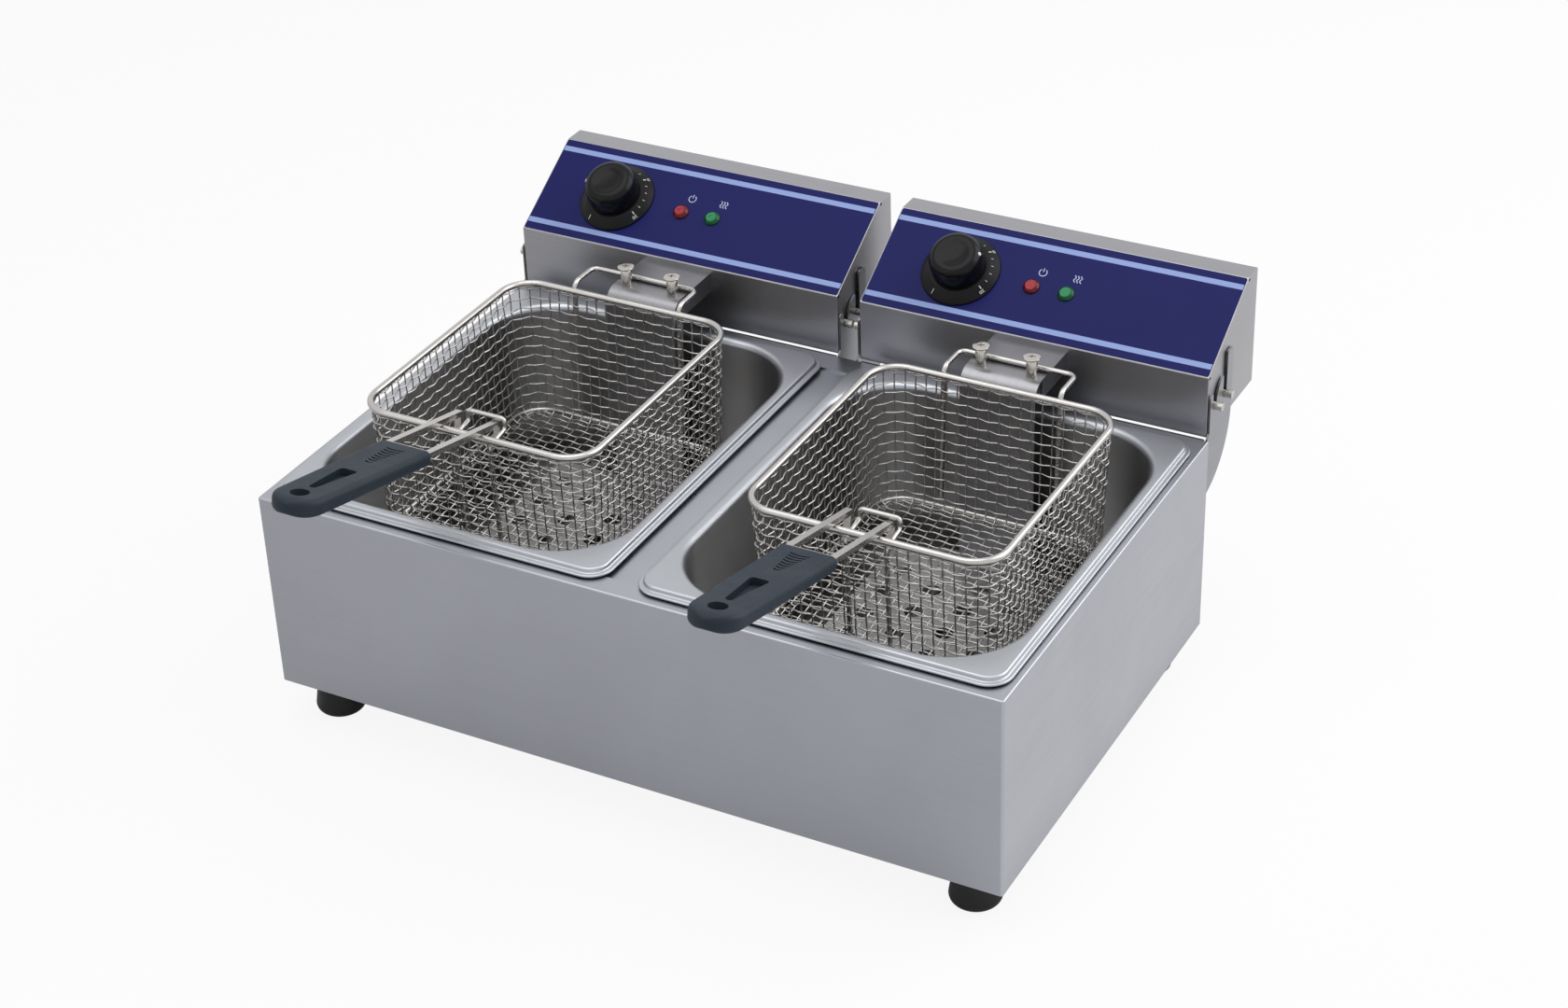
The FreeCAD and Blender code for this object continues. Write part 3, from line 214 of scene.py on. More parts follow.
def stacked(outlines, places, axis):
    """Flat outlines set at places along the third axis, X or Z: one row of points for each place."""
    places = np.asarray(places, float)[:, None, None]
    flat = np.broadcast_to(outlines, (len(places), *outlines.shape[-2:]))
    third = np.broadcast_to(places, (*flat.shape[:2], 1))
    return np.concatenate([third, flat] if axis == "X" else [flat, third], axis=-1)


def arc(centre, radius, start, end, count):
    """Points of (x, y) on a circular arc between two angles in degrees."""
    a = np.radians(np.linspace(start, end, count))
    return np.stack([centre[0] + radius * np.cos(a), centre[1] + radius * np.sin(a)], axis=-1)


def rounded_loops(half_w, half_l, radius, count):
    """Round-cornered rectangles, one for each entry: four quarter arcs joined by straight sides."""
    w, l, r = (np.asarray(v, float)[:, None, None] for v in (half_w, half_l, radius))
    turn = np.linspace(0, math.pi / 2, count + 1)[None, None, :]
    corner = np.arange(4)[None, :, None]
    angle = (corner - 1) * math.pi / 2 + turn
    sx = np.array([1, 1, -1, -1])[None, :, None]
    sy = np.array([-1, 1, 1, -1])[None, :, None]
    x = sx * (w - r) + r * np.cos(angle)
    y = sy * (l - r) + r * np.sin(angle)
    return np.stack([x, y], axis=-1).reshape(len(w), -1, 2)


def along_loop(s, half_w, half_l, radius):
    """Point and outward normal at arc length s on one round-cornered rectangle."""
    side, end, bend = 2 * (half_l - radius), 2 * (half_w - radius), math.pi * radius / 2
    lengths = np.array([side, bend, end, bend, side, bend, end, bend])
    starts = np.concatenate([[0], np.cumsum(lengths)])
    s = np.mod(s, starts[-1])
    leg = np.clip(np.searchsorted(starts, s, side="right") - 1, 0, 7)
    quarter, curved = leg // 2, leg % 2
    t = s - starts[leg]
    turn = quarter * math.pi / 2 + curved * t / radius
    nx, ny = np.cos(turn), np.sin(turn)
    cx = np.array([1, 1, 1, -1, -1, -1, -1, 1])[leg] * (half_w - radius)
    cy = np.array([-1, 1, 1, 1, 1, -1, -1, -1])[leg] * (half_l - radius)
    run = np.where(curved == 1, 0.0, t)
    x = cx + radius * nx - run * ny
    y = cy + radius * ny + run * nx
    return np.stack([x, y], -1), np.stack([nx, ny], -1), starts[-1]


def tubes(paths, normals, radius, sides=6, closed=False):
    """Round wires along paths of shape (wire, step, 3): path + r*(cos a * normal + sin a * side)."""
    if closed:
        run = np.roll(paths, -1, axis=1) - np.roll(paths, 1, axis=1)
    else:
        run = np.gradient(paths, axis=1)
    run = unit(run)
    lift = unit(normals - run * np.sum(normals * run, axis=-1, keepdims=True))
    side = np.cross(run, lift)[:, :, None, :]
    lift = lift[:, :, None, :]
    a = np.linspace(0, 2 * math.pi, sides, endpoint=False)[None, None, :, None]
    points = paths[:, :, None, :] + radius * (np.cos(a) * lift + np.sin(a) * side)
    wires, steps = paths.shape[:2]
    one = grid_faces(steps, sides, close_rows=closed, close_columns=True)[:, ::-1]
    quads = one[None] + (np.arange(wires) * steps * sides)[:, None, None]
    return points.reshape(-1, 3), quads.reshape(-1, 4)


# Finishes

FINISHES = {}


def new_material(name):
    """Material with a bare Principled shader, kept by name; returns it with its tree and shader."""
    material = FINISHES[name] = bpy.data.materials.new(name + "_finish")
    material.use_nodes = True
    tree = material.node_tree
    shader = tree.nodes["Principled BSDF"]
    return material, tree, shader


def feed(tree, node, inputs):
    """Set each of a node's inputs to a value, or link it from a socket."""
    for key, value in inputs.items():
        if isinstance(value, bpy.types.NodeSocket):
            tree.links.new(value, node.inputs[key])
        else:
            node.inputs[key].default_value = value


def add_node(tree, kind, inputs=None, **settings):
    """New node with its settings and its inputs."""
    node = tree.nodes.new(kind)
    for key, value in settings.items():
        setattr(node, key, value)
    feed(tree, node, inputs or {})
    return node


def maths(tree, operation, *inputs):
    """Result of one operation on numbers or sockets."""
    return add_node(tree, "ShaderNodeMath", dict(enumerate(inputs)), operation=operation).outputs[0]


def ramp(tree, value, start, end, low=0.0, high=1.0):
    """Value carried from one range to another, and held at its ends."""
    limits = {"Value": value, "From Min": start, "From Max": end, "To Min": low, "To Max": high}
    return add_node(tree, "ShaderNodeMapRange", limits).outputs[0]


def axis_of(tree, kind, output, axis, **settings):
    """One axis of a vector that a node puts out."""
    source = add_node(tree, kind, **settings)
    return add_node(tree, "ShaderNodeSeparateXYZ", {0: source.outputs[output]}).outputs[axis]


def mixed(tree, factor, a, b, blend="MIX"):
    """Two colours mixed by a factor."""
    inputs = {"Factor": factor, "A": a, "B": b}
    return add_node(tree, "ShaderNodeMix", inputs, data_type="RGBA", blend_type=blend).outputs["Result"]


def retone(material, factor, tint, blend="MIX"):
    """Mix a tint into a material's colour where a mask is on."""
    tree = material.node_tree
    socket = tree.nodes["Principled BSDF"].inputs["Base Color"]
    tree.links.new(mixed(tree, factor, socket.links[0].from_socket, (*tint, 1), blend), socket)


def new_group(name, inputs, outputs):
    """Empty shader node group with named sockets; returns it with its input and output nodes."""
    group = bpy.data.node_groups.new(name, "ShaderNodeTree")
    for socket, kind, value in inputs:
        made = group.interface.new_socket(name=socket, in_out="INPUT", socket_type=kind)
        made.default_value = value
    for socket, kind in outputs:
        group.interface.new_socket(name=socket, in_out="OUTPUT", socket_type=kind)
    return group, group.nodes.new("NodeGroupInput"), group.nodes.new("NodeGroupOutput")


def brushing_group():
    """Fine streaks along one axis and broad cloudy smears, from stretched noise."""
    if "brushing" in bpy.data.node_groups:
        return bpy.data.node_groups["brushing"]
    group, given, out = new_group(
        "brushing",
        [("Stretch", "NodeSocketVector", (1.0, 1.0, 1.0)), ("Streak", "NodeSocketFloat", 0.1),
         ("Smear", "NodeSocketFloat", 0.1), ("Smear Scale", "NodeSocketFloat", 9.0),
         ("Colour", "NodeSocketColor", (0.5, 0.5, 0.5, 1)), ("Roughness", "NodeSocketFloat", 0.3)],
        [("Colour", "NodeSocketColor"), ("Roughness", "NodeSocketFloat"), ("Height", "NodeSocketFloat")])
    given = given.outputs
    place = add_node(group, "ShaderNodeTexCoord").outputs["Object"]
    stretched = add_node(group, "ShaderNodeVectorMath", {0: place, 1: given["Stretch"]}, operation="MULTIPLY")
    fine = {"Vector": stretched.outputs[0], "Scale": 1.0, "Detail": 4.0, "Roughness": 0.65}
    broad = {"Vector": place, "Scale": given["Smear Scale"], "Detail": 3.0, "Roughness": 0.55,
             "Distortion": 0.6}
    streaks, clouds = (add_node(group, "ShaderNodeTexNoise", noise).outputs["Fac"] for noise in (fine, broad))
    streak = maths(group, "MULTIPLY", maths(group, "SUBTRACT", streaks, 0.5), given["Streak"])
    smear = maths(group, "MULTIPLY", maths(group, "SUBTRACT", clouds, 0.5), given["Smear"])
    both = maths(group, "ADD", streak, smear)
    share = maths(group, "ADD", both, 1.0)
    tone = add_node(group, "ShaderNodeVectorMath", {0: given["Colour"], "Scale": share}, operation="SCALE")
    rough = maths(group, "SUBTRACT", given["Roughness"], both)
    feed(group, out, {"Colour": tone.outputs[0], "Roughness": rough, "Height": streaks})
    return group


def brushed(name, tint, stretch, streak, smear, smear_scale, rough, bump, depth):
    """Material whose colour, roughness and bump come from the brushing; returns it with its shader."""
    material, tree, shader = new_material(name)
    values = {"Stretch": stretch, "Streak": streak, "Smear": smear, "Smear Scale": smear_scale,
              "Colour": (*tint, 1), "Roughness": rough}
    grain = add_node(tree, "ShaderNodeGroup", values, node_tree=brushing_group()).outputs
    ridge = add_node(tree, "ShaderNodeBump", {"Strength": bump, "Distance": depth, "Height": grain["Height"]})
    feed(tree, shader, {"Base Color": grain["Colour"], "Roughness": grain["Roughness"],
                        "Normal": ridge.outputs["Normal"]})
    return material, shader


def steel(name, tint, stretch, streak=0.16, smear=0.14, smear_scale=9.0, rough=0.34, bump=0.04):
    """Brushed or satin steel: streaks across the stretched axes, smears, and a slight brushed bump."""
    if name not in FINISHES:
        _, shader = brushed(name, tint, stretch, streak, smear, smear_scale, rough, bump, 0.0004)
        shader.inputs["Metallic"].default_value = 1.0
    return FINISHES[name]


def grained(name, tint, rough=0.5, scale=900.0, bump=0.12, vary=0.25, specular=0.5):
    """Moulded plastic or rubber: a fine pitted grain and a slow change of tone."""
    if name not in FINISHES:
        _, shader = brushed(name, tint, (scale, scale, scale), vary, vary, 40.0, rough, bump, 0.0002)
        shader.inputs["Specular IOR Level"].default_value = specular
    return FINISHES[name]


def lens(name, tint):
    """Tinted plastic lens under a thin gloss coat."""
    material = grained(name, tint, rough=0.20, scale=300.0, bump=0.02, vary=0.12, specular=0.25)
    tree = material.node_tree
    feed(tree, tree.nodes["Principled BSDF"], {"Coat Weight": 0.12, "Coat Roughness": 0.06})
    return material


def casing_steel():
    """Brushed sheet with the streaks running level."""
    return steel("casing_steel", colours().steel, (6.0, 6.0, 1400.0))


def bracket_painted_shade_steel():
    """Brushed sheet with painted shade: a darker tone for the shade between the heads, and darker still on
    the edges that look forwards, which the normal's Y picks.
    """
    if "bracket_painted_shade_steel" not in FINISHES:
        # painted shade: the bracket's tone is darker than the casing's for the shade between the heads
        material = steel("bracket_painted_shade_steel", (0.28, 0.285, 0.305), (6.0, 6.0, 900.0))
        tree = material.node_tree
        forwards = axis_of(tree, "ShaderNodeNewGeometry", "True Normal", "Y")
        # painted shade: edges that face forwards are darkened for the shadow gap where the plate stands off
        # the head
        retone(material, ramp(tree, forwards, -0.35, -0.75), (0.12, 0.115, 0.11))
    return FINISHES["bracket_painted_shade_steel"]


def head_steel():
    """Brushed sheet of the heads."""
    return steel("head_steel", colours().head, (6.0, 900.0, 900.0))


def tank_steel():
    """Satin pressed steel, oiled inside and darker towards the floor: Object Z picks both places."""
    if "tank_steel" not in FINISHES:
        material = steel("tank_steel", colours().tank, (90.0, 90.0, 12.0),
                         streak=0.10, smear=0.16, rough=0.36, bump=0.02)
        tree = material.node_tree
        height = axis_of(tree, "ShaderNodeTexCoord", "Object", "Z")
        oiled = ramp(tree, height, 0.184, 0.172)
        # darker towards the tank's floor
        darker_low = ramp(tree, height, 0.062, 0.046, high=0.85)
        retone(material, oiled, (0.97, 0.93, 0.88), "MULTIPLY")
        retone(material, darker_low, (0.055, 0.047, 0.040))
    return FINISHES["tank_steel"]


def wire_steel():
    """Bright plated wire."""
    return steel("basket_wire", colours().wire, (300.0, 300.0, 300.0), streak=0.22, smear=0.18, rough=0.26)


def pale_print():
    """Pale blue print of the label's signs."""
    return grained("pale_print", (0.55, 0.62, 0.85), rough=0.55, vary=0.08, specular=0.15)


def screw_steel():
    """Bright metal of screws and posts."""
    return steel("screw_steel", (0.50, 0.48, 0.45), (200.0, 200.0, 200.0), rough=0.24)


def white_print():
    """White print of the dial's marks."""
    return grained("white_print", (0.72, 0.72, 0.72), rough=0.55, vary=0.08)


# Operators

class PieceOperator:
    """What every piece's operator shares: its makers run in order for each side."""

    bl_options = {"REGISTER", "UNDO"}

    def makers(self):
        return ()

    def execute(self, context):
        for side in SIDES:
            for make in self.makers():
                make(side)
        return {"FINISHED"}


class FRYER_OT_stage(PieceOperator, bpy.types.Operator):
    """Floor, light, background and the photograph's camera"""

    bl_idname = "fryer.stage"
    bl_label = "Stage and camera"

    def execute(self, context):
        scene = context.scene
        scene.view_settings.view_transform = "Standard"
        place_camera(scene)
        make_world(scene)
        make_floor()
        make_lights(scene)
        return {"FINISHED"}


def place_camera(scene):
    """Camera from its measured place, azimuth, elevation and roll."""
    azimuth, elevation, roll = (math.radians(v) for v in CAMERA_TURN)
    ahead = Vector((-math.sin(azimuth) * math.cos(elevation), math.cos(azimuth) * math.cos(elevation),
                    -math.sin(elevation)))
    right = ahead.cross(Vector((0, 0, 1))).normalized()
    down = ahead.cross(right)
    c, s = math.cos(roll), math.sin(roll)
    across, below = right * c - down * s, right * s + down * c
    data = bpy.data.cameras.new("photo_camera")
    data.sensor_fit = "HORIZONTAL"
    data.sensor_width = 36.0
    data.lens = FOCAL_PIXELS / IMAGE[0] * data.sensor_width
    camera = bpy.data.objects.new("photo_camera", data)
    camera.matrix_world = Matrix((across, -below, -ahead)).transposed().to_4x4()
    camera.location = CAMERA_PLACE
    scene.collection.objects.link(camera)
    scene.camera = camera


def make_world(scene):
    """White where the camera, metal and glass see it, and a soft level light for everything else."""
    world = bpy.data.worlds.new("studio")
    world.use_nodes = True
    tree = world.node_tree
    path = add_node(tree, "ShaderNodeLightPath").outputs
    seen = maths(tree, "MAXIMUM", path["Is Camera Ray"], path["Is Transmission Ray"])
    seen = maths(tree, "MAXIMUM", seen, path["Is Glossy Ray"])
    strength = ramp(tree, seen, 0.0, 1.0, 0.40, 1.0)
    feed(tree, tree.nodes["Background"], {"Color": (1, 1, 1, 1), "Strength": strength})
    scene.world = world


def make_floor():
    """Pale floor with a faint shadow that fades into the background; to glossy rays it glows to the right of
    the casing, painted light that metal reflects as a lighter right side.
    """
    material, tree, shader = new_material("pale_floor")
    feed(tree, shader, {"Base Color": (0.9, 0.9, 0.9, 1), "Roughness": 0.9, "Specular IOR Level": 0.0})
    glow = add_node(tree, "ShaderNodeEmission", {"Color": (1, 1, 1, 1), "Strength": 1.0})
    path = add_node(tree, "ShaderNodeLightPath").outputs
    # painted light: to glossy rays the floor glows right of the casing, so the casing's right side reflects
    # lighter
    right_glow_for_metal = ramp(tree, axis_of(tree, "ShaderNodeTexCoord", "Object", "X"), 0.285, 0.31, 0.13, 0.95)
    glossy_glow = maths(tree, "MULTIPLY", path["Is Glossy Ray"], right_glow_for_metal)
    plain = maths(tree, "MULTIPLY", path["Is Camera Ray"], 0.90)
    share = maths(tree, "MAXIMUM", plain, glossy_glow)
    mix = add_node(tree, "ShaderNodeMixShader", {0: share, 1: shader.outputs[0], 2: glow.outputs[0]})
    feed(tree, tree.nodes["Material Output"], {"Surface": mix.outputs[0]})
    reach, count, under = 40.0, 5, 0.0005
    line = np.linspace(-reach, reach, count)
    x, y = np.meshgrid(line, line, indexing="ij")
    points = np.stack([x, y, np.full_like(x, -under)], axis=-1)
    floor = make_piece("studio_floor", points, grid_faces(count, count), material, smooth=False)


def make_lights(scene):
    """Soft boxes above, to the right and to the front left, all turned to the fryer."""
    boxes = {"top_box": ((-0.2, -0.2, 1.9), 1.6, 12.0), "right_box": ((1.3, 0.9, 1.3), 1.7, 20.0),
             "front_box": ((-1.2, -1.9, 1.3), 1.2, 2.0)}
    for name, (place, size, power) in boxes.items():
        data = bpy.data.lights.new(name, "AREA")
        data.shape = "SQUARE"
        data.size = size
        data.energy = power
        lamp = bpy.data.objects.new(name, data)
        lamp.location = place
        lamp.rotation_euler = (Vector((0, 0, 0.15)) - Vector(place)).to_track_quat("-Z", "Y").to_euler()
        scene.collection.objects.link(lamp)


class FRYER_OT_finishes(PieceOperator, bpy.types.Operator):
    """Finishes of the nodes that keep their own shape"""

    bl_idname = "fryer.finishes"
    bl_label = "Finishes of the frame's parts"

    def execute(self, context):
        dark = steel("element_steel", (0.16, 0.155, 0.15), (60.0, 60.0, 60.0), rough=0.42)
        brass = steel("spindle_brass", (0.55, 0.40, 0.18), (120.0, 120.0, 120.0), rough=0.35)
        black = grained("electrical_plastic", colours().black, rough=0.45)
        rubber = grained("foot_rubber", (0.0085, 0.009, 0.010), rough=0.45, scale=500.0, specular=0.3)
        hood = steel("hood_steel", (0.275, 0.275, 0.29), (900.0, 6.0, 6.0), rough=0.34)
        guard = steel("guard_steel", (0.66, 0.66, 0.66), (6.0, 700.0, 6.0), rough=0.30)
        finishes = {"casing_steel": casing_steel(), "head_steel": head_steel(), "hood_steel": hood,
                    "tank_steel": tank_steel(), "screw_steel": screw_steel(), "element_steel": dark,
                    "basket_wire": wire_steel(), "spindle_brass": brass, "foot_rubber": rubber,
                    "label_print": black, "dial_plastic": black, "knob_plastic": black,
                    "red_lens": lens("red_lens", colours().power),
                    "green_lens": lens("green_lens", colours().heat),
                    "electrical_plastic": black, "grip_plastic": black}
        for entry in frame["record"]["subparts"]:
            node = frame["nodes"][entry["node"]]
            node.data.materials.clear()
            own = {"guard_plate": guard, "head_bracket": bracket_painted_shade_steel()}.get(entry["node"].split("_", 1)[-1])
            node.data.materials.append(own or finishes[entry["material_slot"]])
        return {"FINISHED"}


class FRYER_OT_tanks(PieceOperator, bpy.types.Operator):
    """Pressed tanks with a stepped flange and a rolled mouth"""

    bl_idname = "fryer.tanks"
    bl_label = "Tanks"

    def makers(self):
        return (make_tank,)


def tank_profile(depth, roll):
    """Cross-section of (out, height) from the inside floor up, over the flange and back below.

    Out is measured from the mouth, height from the flange's top.
    """
    wall, lip, drop, floor_r = 0.0012, 0.0125, 0.0033, 0.025
    edge = 0.0009
    inside = np.concatenate([
        arc((-floor_r, -depth + wall + floor_r), floor_r, 270, 360, 9),
        arc((roll, -roll), roll, 180, 90, 9),
        arc((lip - 0.0052, -0.0016), 0.0016, 90, 20, 6),
        arc((lip - 0.0024, -drop + 0.0012), 0.0012, 200, 270, 5),
        arc((lip - edge, -drop - edge), edge, 90, -90, 9)])
    outside = np.concatenate([
        [[lip - 0.0030, -drop - 2 * edge]],
        arc((lip - 0.0046, -wall - 0.0016), 0.0010, 20, 90, 4),
        [[wall + roll, -wall], [wall + roll * 0.3, -wall - roll * 0.5]],
        arc((-floor_r + wall, -depth + floor_r), floor_r, 360, 270, 9)])
    return np.concatenate([inside, outside])


def make_tank(side):
    """The profile carried round the mouth: each profile point is one round-cornered rectangle."""
    low, high = node_box(side + "_tank")
    middle = (low + high) / 2
    half_w, half_l, mouth_r = 0.120, 0.150, 0.055
    flange_r, ledge_start = 0.017, 0.006
    out, height = tank_profile(high[2] - low[2], sizes().mouth_roll).T
    edge = (high[0] - low[0]) / 2 - half_w
    radius = np.where(out > ledge_start, flange_r - (edge - out), mouth_r + out)
    loops = rounded_loops(half_w + out, half_l + out, np.maximum(radius, 0.004), 16)
    points = stacked(loops + middle[:2], high[2] + height, "Z")
    piece = make_rings(side + "_tank_shell", points, tank_steel())
    finish_piece(piece, side + "_tank", [side + "_tank"])


class FRYER_OT_baskets(PieceOperator, bpy.types.Operator):
    """Woven walls and floor of the baskets"""

    bl_idname = "fryer.baskets"
    bl_label = "Basket weave"

    def makers(self):
        return make_basket_walls, make_basket_floor


def basket_shape(side):
    """Middle, half sizes, corner radius, rim height and floor height of a basket's weave."""
    low, high = node_box(side + "_basket_rim")
    net_low, _ = node_box(side + "_basket_mesh")
    corner, net_half = 0.023, 0.0016
    rim = (high[2] - low[2]) / 2
    half = (high[:2] - low[:2]) / 2 - rim
    return (low[:2] + high[:2]) / 2, half, corner, (low[2] + high[2]) / 2, net_low[2] + net_half


def wall_line(count, rim_z, floor_z):
    """Line down a wall: a slight taper, then a quarter bend of 8 mm into the floor; (inset, z, lean)."""
    bend, taper = 0.008, 0.0045
    straight = rim_z - floor_z - bend
    length = straight + bend * math.pi / 2
    d = np.linspace(0, length, count)
    turn = np.clip((d - straight) / bend, 0, None)
    inset = taper * np.clip(d / straight, 0, 1) + bend * (1 - np.cos(turn))
    z = rim_z - np.minimum(d, straight) - bend * np.sin(turn)
    return d, inset, z, turn


def make_basket_walls(side):
    """Rings woven over and under nearly straight uprights: each wire swings by cos(pi * crossing)."""
    centre, half, corner, rim_z, floor_z = basket_shape(side)
    pitch, wire = sizes().weave_pitch, sizes().weave_wire
    per = 4
    _, _, around = along_loop(np.zeros(1), half[0], half[1], corner)
    uprights = 2 * round(around / pitch / 2)
    probe, _, _, _ = wall_line(2, rim_z, floor_z)
    rings = round(probe[-1] / pitch)

    def wall_points(s, row_inset, row_z, row_turn, swing):
        flat, out, _ = along_loop(s, half[0], half[1], corner)
        lean = np.concatenate([out * np.cos(row_turn), -np.sin(row_turn)], axis=-1)
        base = np.concatenate([centre + flat - out * row_inset, row_z], axis=-1)
        return base + lean * swing, lean

    step = np.arange(uprights * per)
    s = np.broadcast_to((step * around / len(step))[None], (rings, len(step)))
    d, inset, z, turn = wall_line(rings * 2 + 1, rim_z, floor_z)
    row = [v[1::2, None, None] for v in (inset, z, turn)]
    row = [np.broadcast_to(v, (rings, len(step), 1)) for v in row]
    swing = 1.6 * wire * np.cos(math.pi * (step[None, :] / per + np.arange(rings)[:, None]))[..., None]
    path, lean = wall_points(s, *row, swing)
    ring_mesh = tubes(path, lean, wire, sides=6, closed=True)

    d, inset, z, turn = wall_line(rings * per + 1, rim_z, floor_z)
    shape = (uprights, len(d))
    s = np.broadcast_to((np.arange(uprights) * around / uprights)[:, None], shape)
    column = [np.broadcast_to(v[None, :, None], (*shape, 1)) for v in (inset, z, turn)]
    crossing = np.arange(len(d)) / per - 0.5
    swing = -0.4 * wire * np.cos(math.pi * (crossing[None, :] + np.arange(uprights)[:, None]))[..., None]
    path, lean = wall_points(s, *column, swing)
    upright_mesh = tubes(path, lean, wire, sides=6)
    points, quads = join_arrays([ring_mesh, upright_mesh])
    piece = make_piece(side + "_basket_weave", points, quads, wire_steel())
    finish_piece(piece, side + "_basket", [side + "_basket_mesh"])


def make_basket_floor(side):
    """Two sets of straight woven wires, each as long as the rounded floor is at its place."""
    centre, half, corner, _, floor_z = basket_shape(side)
    pitch, wire = sizes().weave_pitch, sizes().weave_wire
    inset = 0.0085
    half = half - inset
    corner = corner - inset
    parts = []
    for axis in (0, 1):
        across, along = half[1 - axis], half[axis]
        count = round(2 * across / pitch)
        lines = (np.arange(count) + 0.5) / count * 2 * across - across
        over = np.clip(np.abs(lines) - (across - corner), 0, None)
        reach = along - corner + np.sqrt(np.clip(corner ** 2 - over ** 2, 0, None))
        steps = round(2 * along / pitch) * 4
        t = np.linspace(-1, 1, steps + 1)
        run = reach[:, None] * t[None, :]
        swing = (1 - 2 * axis) * wire * np.cos(math.pi * (run / pitch + np.arange(count)[:, None]))
        path = np.empty((*run.shape, 3))
        path[..., axis] = centre[axis] + run
        path[..., 1 - axis] = centre[1 - axis] + lines[:, None]
        path[..., 2] = floor_z + swing
        up = np.broadcast_to(np.array([0.0, 0.0, 1.0]), path.shape)
        parts.append(tubes(path, up, wire, sides=6))
    points, quads = join_arrays(parts)
    piece = make_piece(side + "_basket_floor_weave", points, quads, wire_steel())
    finish_piece(piece, side + "_basket")


class FRYER_OT_heads(PieceOperator, bpy.types.Operator):
    """Folded covers, labels, dials, knobs and lamps of the control heads"""

    bl_idname = "fryer.heads"
    bl_label = "Control heads"

    def makers(self):
        return (make_deck_lip, make_cover, make_end_panels, make_posts, make_label, make_signs, make_dial,
                make_knob, make_lamps)


SLOPE = math.radians(31.0)
SLOPE_LENGTH = 0.072 / math.cos(SLOPE)
FRONT_HEIGHT = 0.047
LAMP_UP = 0.041
SIGN_UP = 0.0545
SIGN_SHIFT = 0.004
SIGN_STROKE = 0.0007
SIGN_OFF = 0.00038
FILM = 0.0003
SHEET = 0.0012
UP_SLOPE = np.array([0.0, math.cos(SLOPE), math.sin(SLOPE)])
OFF_SLOPE = np.array([0.0, -math.sin(SLOPE), math.cos(SLOPE)])
ACROSS = np.array([1.0, 0.0, 0.0])


def slope_foot(side):
    """Lower edge of the slope, at the middle of the head."""
    low, high = node_box(side + "_head_side_panels")
    return np.array([(low[0] + high[0]) / 2, low[1], low[2] + FRONT_HEIGHT])


def make_deck_lip(side):
    """Folded edge of the deck under the head's front: a round-nosed strip carried across the head, in
    near-black steel as painted shade for the gap under the head.
    """
    head_low, head_high = node_box(side + "_head_cover")
    deck_back, top = node_box("casing_wrap")[1][1:]
    top = top - 0.0003
    nose, root, r = head_low[1] - 0.0005, deck_back - 0.0010, 0.0005
    outline = np.concatenate([[[root, top - SHEET], [root, top]], arc((nose - r, top - r), r, 90, 0, 5),
                              [[nose, top - SHEET]]])
    points = stacked(outline, (head_low[0], head_high[0]), "X")
    # painted shade: near-black steel stands in for the shadow in the gap under the head's front
    shaded = steel("lip_painted_shade", (0.07, 0.069, 0.068), (6.0, 900.0, 900.0), rough=0.5)
    piece = make_rings(side + "_deck_lip", points, shaded)
    recalculate_outside(piece)
    shade_by_angle(piece)
    finish_piece(piece, "casing")


def make_cover(side):
    """Outline of front, slope and top with rounded folds, carried from end to end, with its thickness."""
    low, high = node_box(side + "_head_cover")
    foot = slope_foot(side)
    r = sizes().fold
    low_reach = r * math.tan((math.pi / 2 - SLOPE) / 2)
    high_reach = r * math.tan(SLOPE / 2)
    crest = foot[1:] + UP_SLOPE[1:] * SLOPE_LENGTH
    lower = arc((foot[1] + r, foot[2] - low_reach), r, 180, 90 + math.degrees(SLOPE), 7)
    upper = arc((crest[0] + high_reach, crest[1] - r), r, 90 + math.degrees(SLOPE), 90, 6)
    line = np.concatenate([[[foot[1], low[2]]], lower, upper, [[high[1], crest[1]]]])
    run = unit(np.gradient(line, axis=0))
    inner = line + np.stack([run[:, 1], -run[:, 0]], axis=-1) * SHEET
    loop = np.concatenate([line, inner[::-1]])
    points = stacked(loop, (low[0], high[0]), "X")
    quads = grid_faces(2, len(loop), close_columns=True)
    n = len(line)
    ends = grid_faces(2, n)[:, ::-1].copy()
    near = np.where(ends >= n, 2 * n - 1 - (ends - n), ends)
    quads = np.concatenate([quads[:, ::-1], near, near[:, ::-1] + len(loop)])
    piece = make_piece(side + "_head_folds", points, quads, head_steel(), smooth=False)
    shade_by_angle(piece)
    finish_piece(piece, side + "_head", [side + "_head_cover"])


def head_corners(side):
    """Outline of a head's end in (y, z): front foot, lower and upper fold, top and foot at the back."""
    low, high = node_box(side + "_head_side_panels")
    foot = slope_foot(side)
    crest = foot[1:] + UP_SLOPE[1:] * SLOPE_LENGTH
    return np.array([[low[1], low[2]], foot[1:], crest, [high[1], high[2]], [high[1], low[2]]])


def drawn_in(corners, amount):
    """Convex outline moved inwards: v - amount * (n1 + n2) / (1 + n1.n2) at each corner."""
    run = unit(np.roll(corners, -1, axis=0) - corners)
    after = np.stack([-run[:, 1], run[:, 0]], axis=-1)
    before = np.roll(after, 1, axis=0)
    share = 1 + np.sum(before * after, axis=1, keepdims=True)
    return corners - amount * (before + after) / share


def make_end_panels(side):
    """Flat end plates whose outer edge is broken: the outline drawn in over the last half millimetre."""
    low, high = node_box(side + "_head_side_panels")
    corners = head_corners(side)
    insets = (0.0, 0.0, 0.00012, 0.0004)
    depths = np.array([SHEET, 0.0004, 0.00012, 0.0])
    outlines = np.stack([drawn_in(corners, inset) for inset in insets])
    for end, face, way in (("left", low[0], 1), ("right", high[0], -1)):
        points = stacked(outlines, face + way * depths, "X")
        piece = make_rings("%s_head_%s_end" % (side, end), points, head_steel(), way, smooth=False)
        nodes = [side + "_head_side_panels"] if end == "left" else ()
        finish_piece(piece, side + "_head", nodes)
        make_fold_notches(side, end, face, -way, corners)


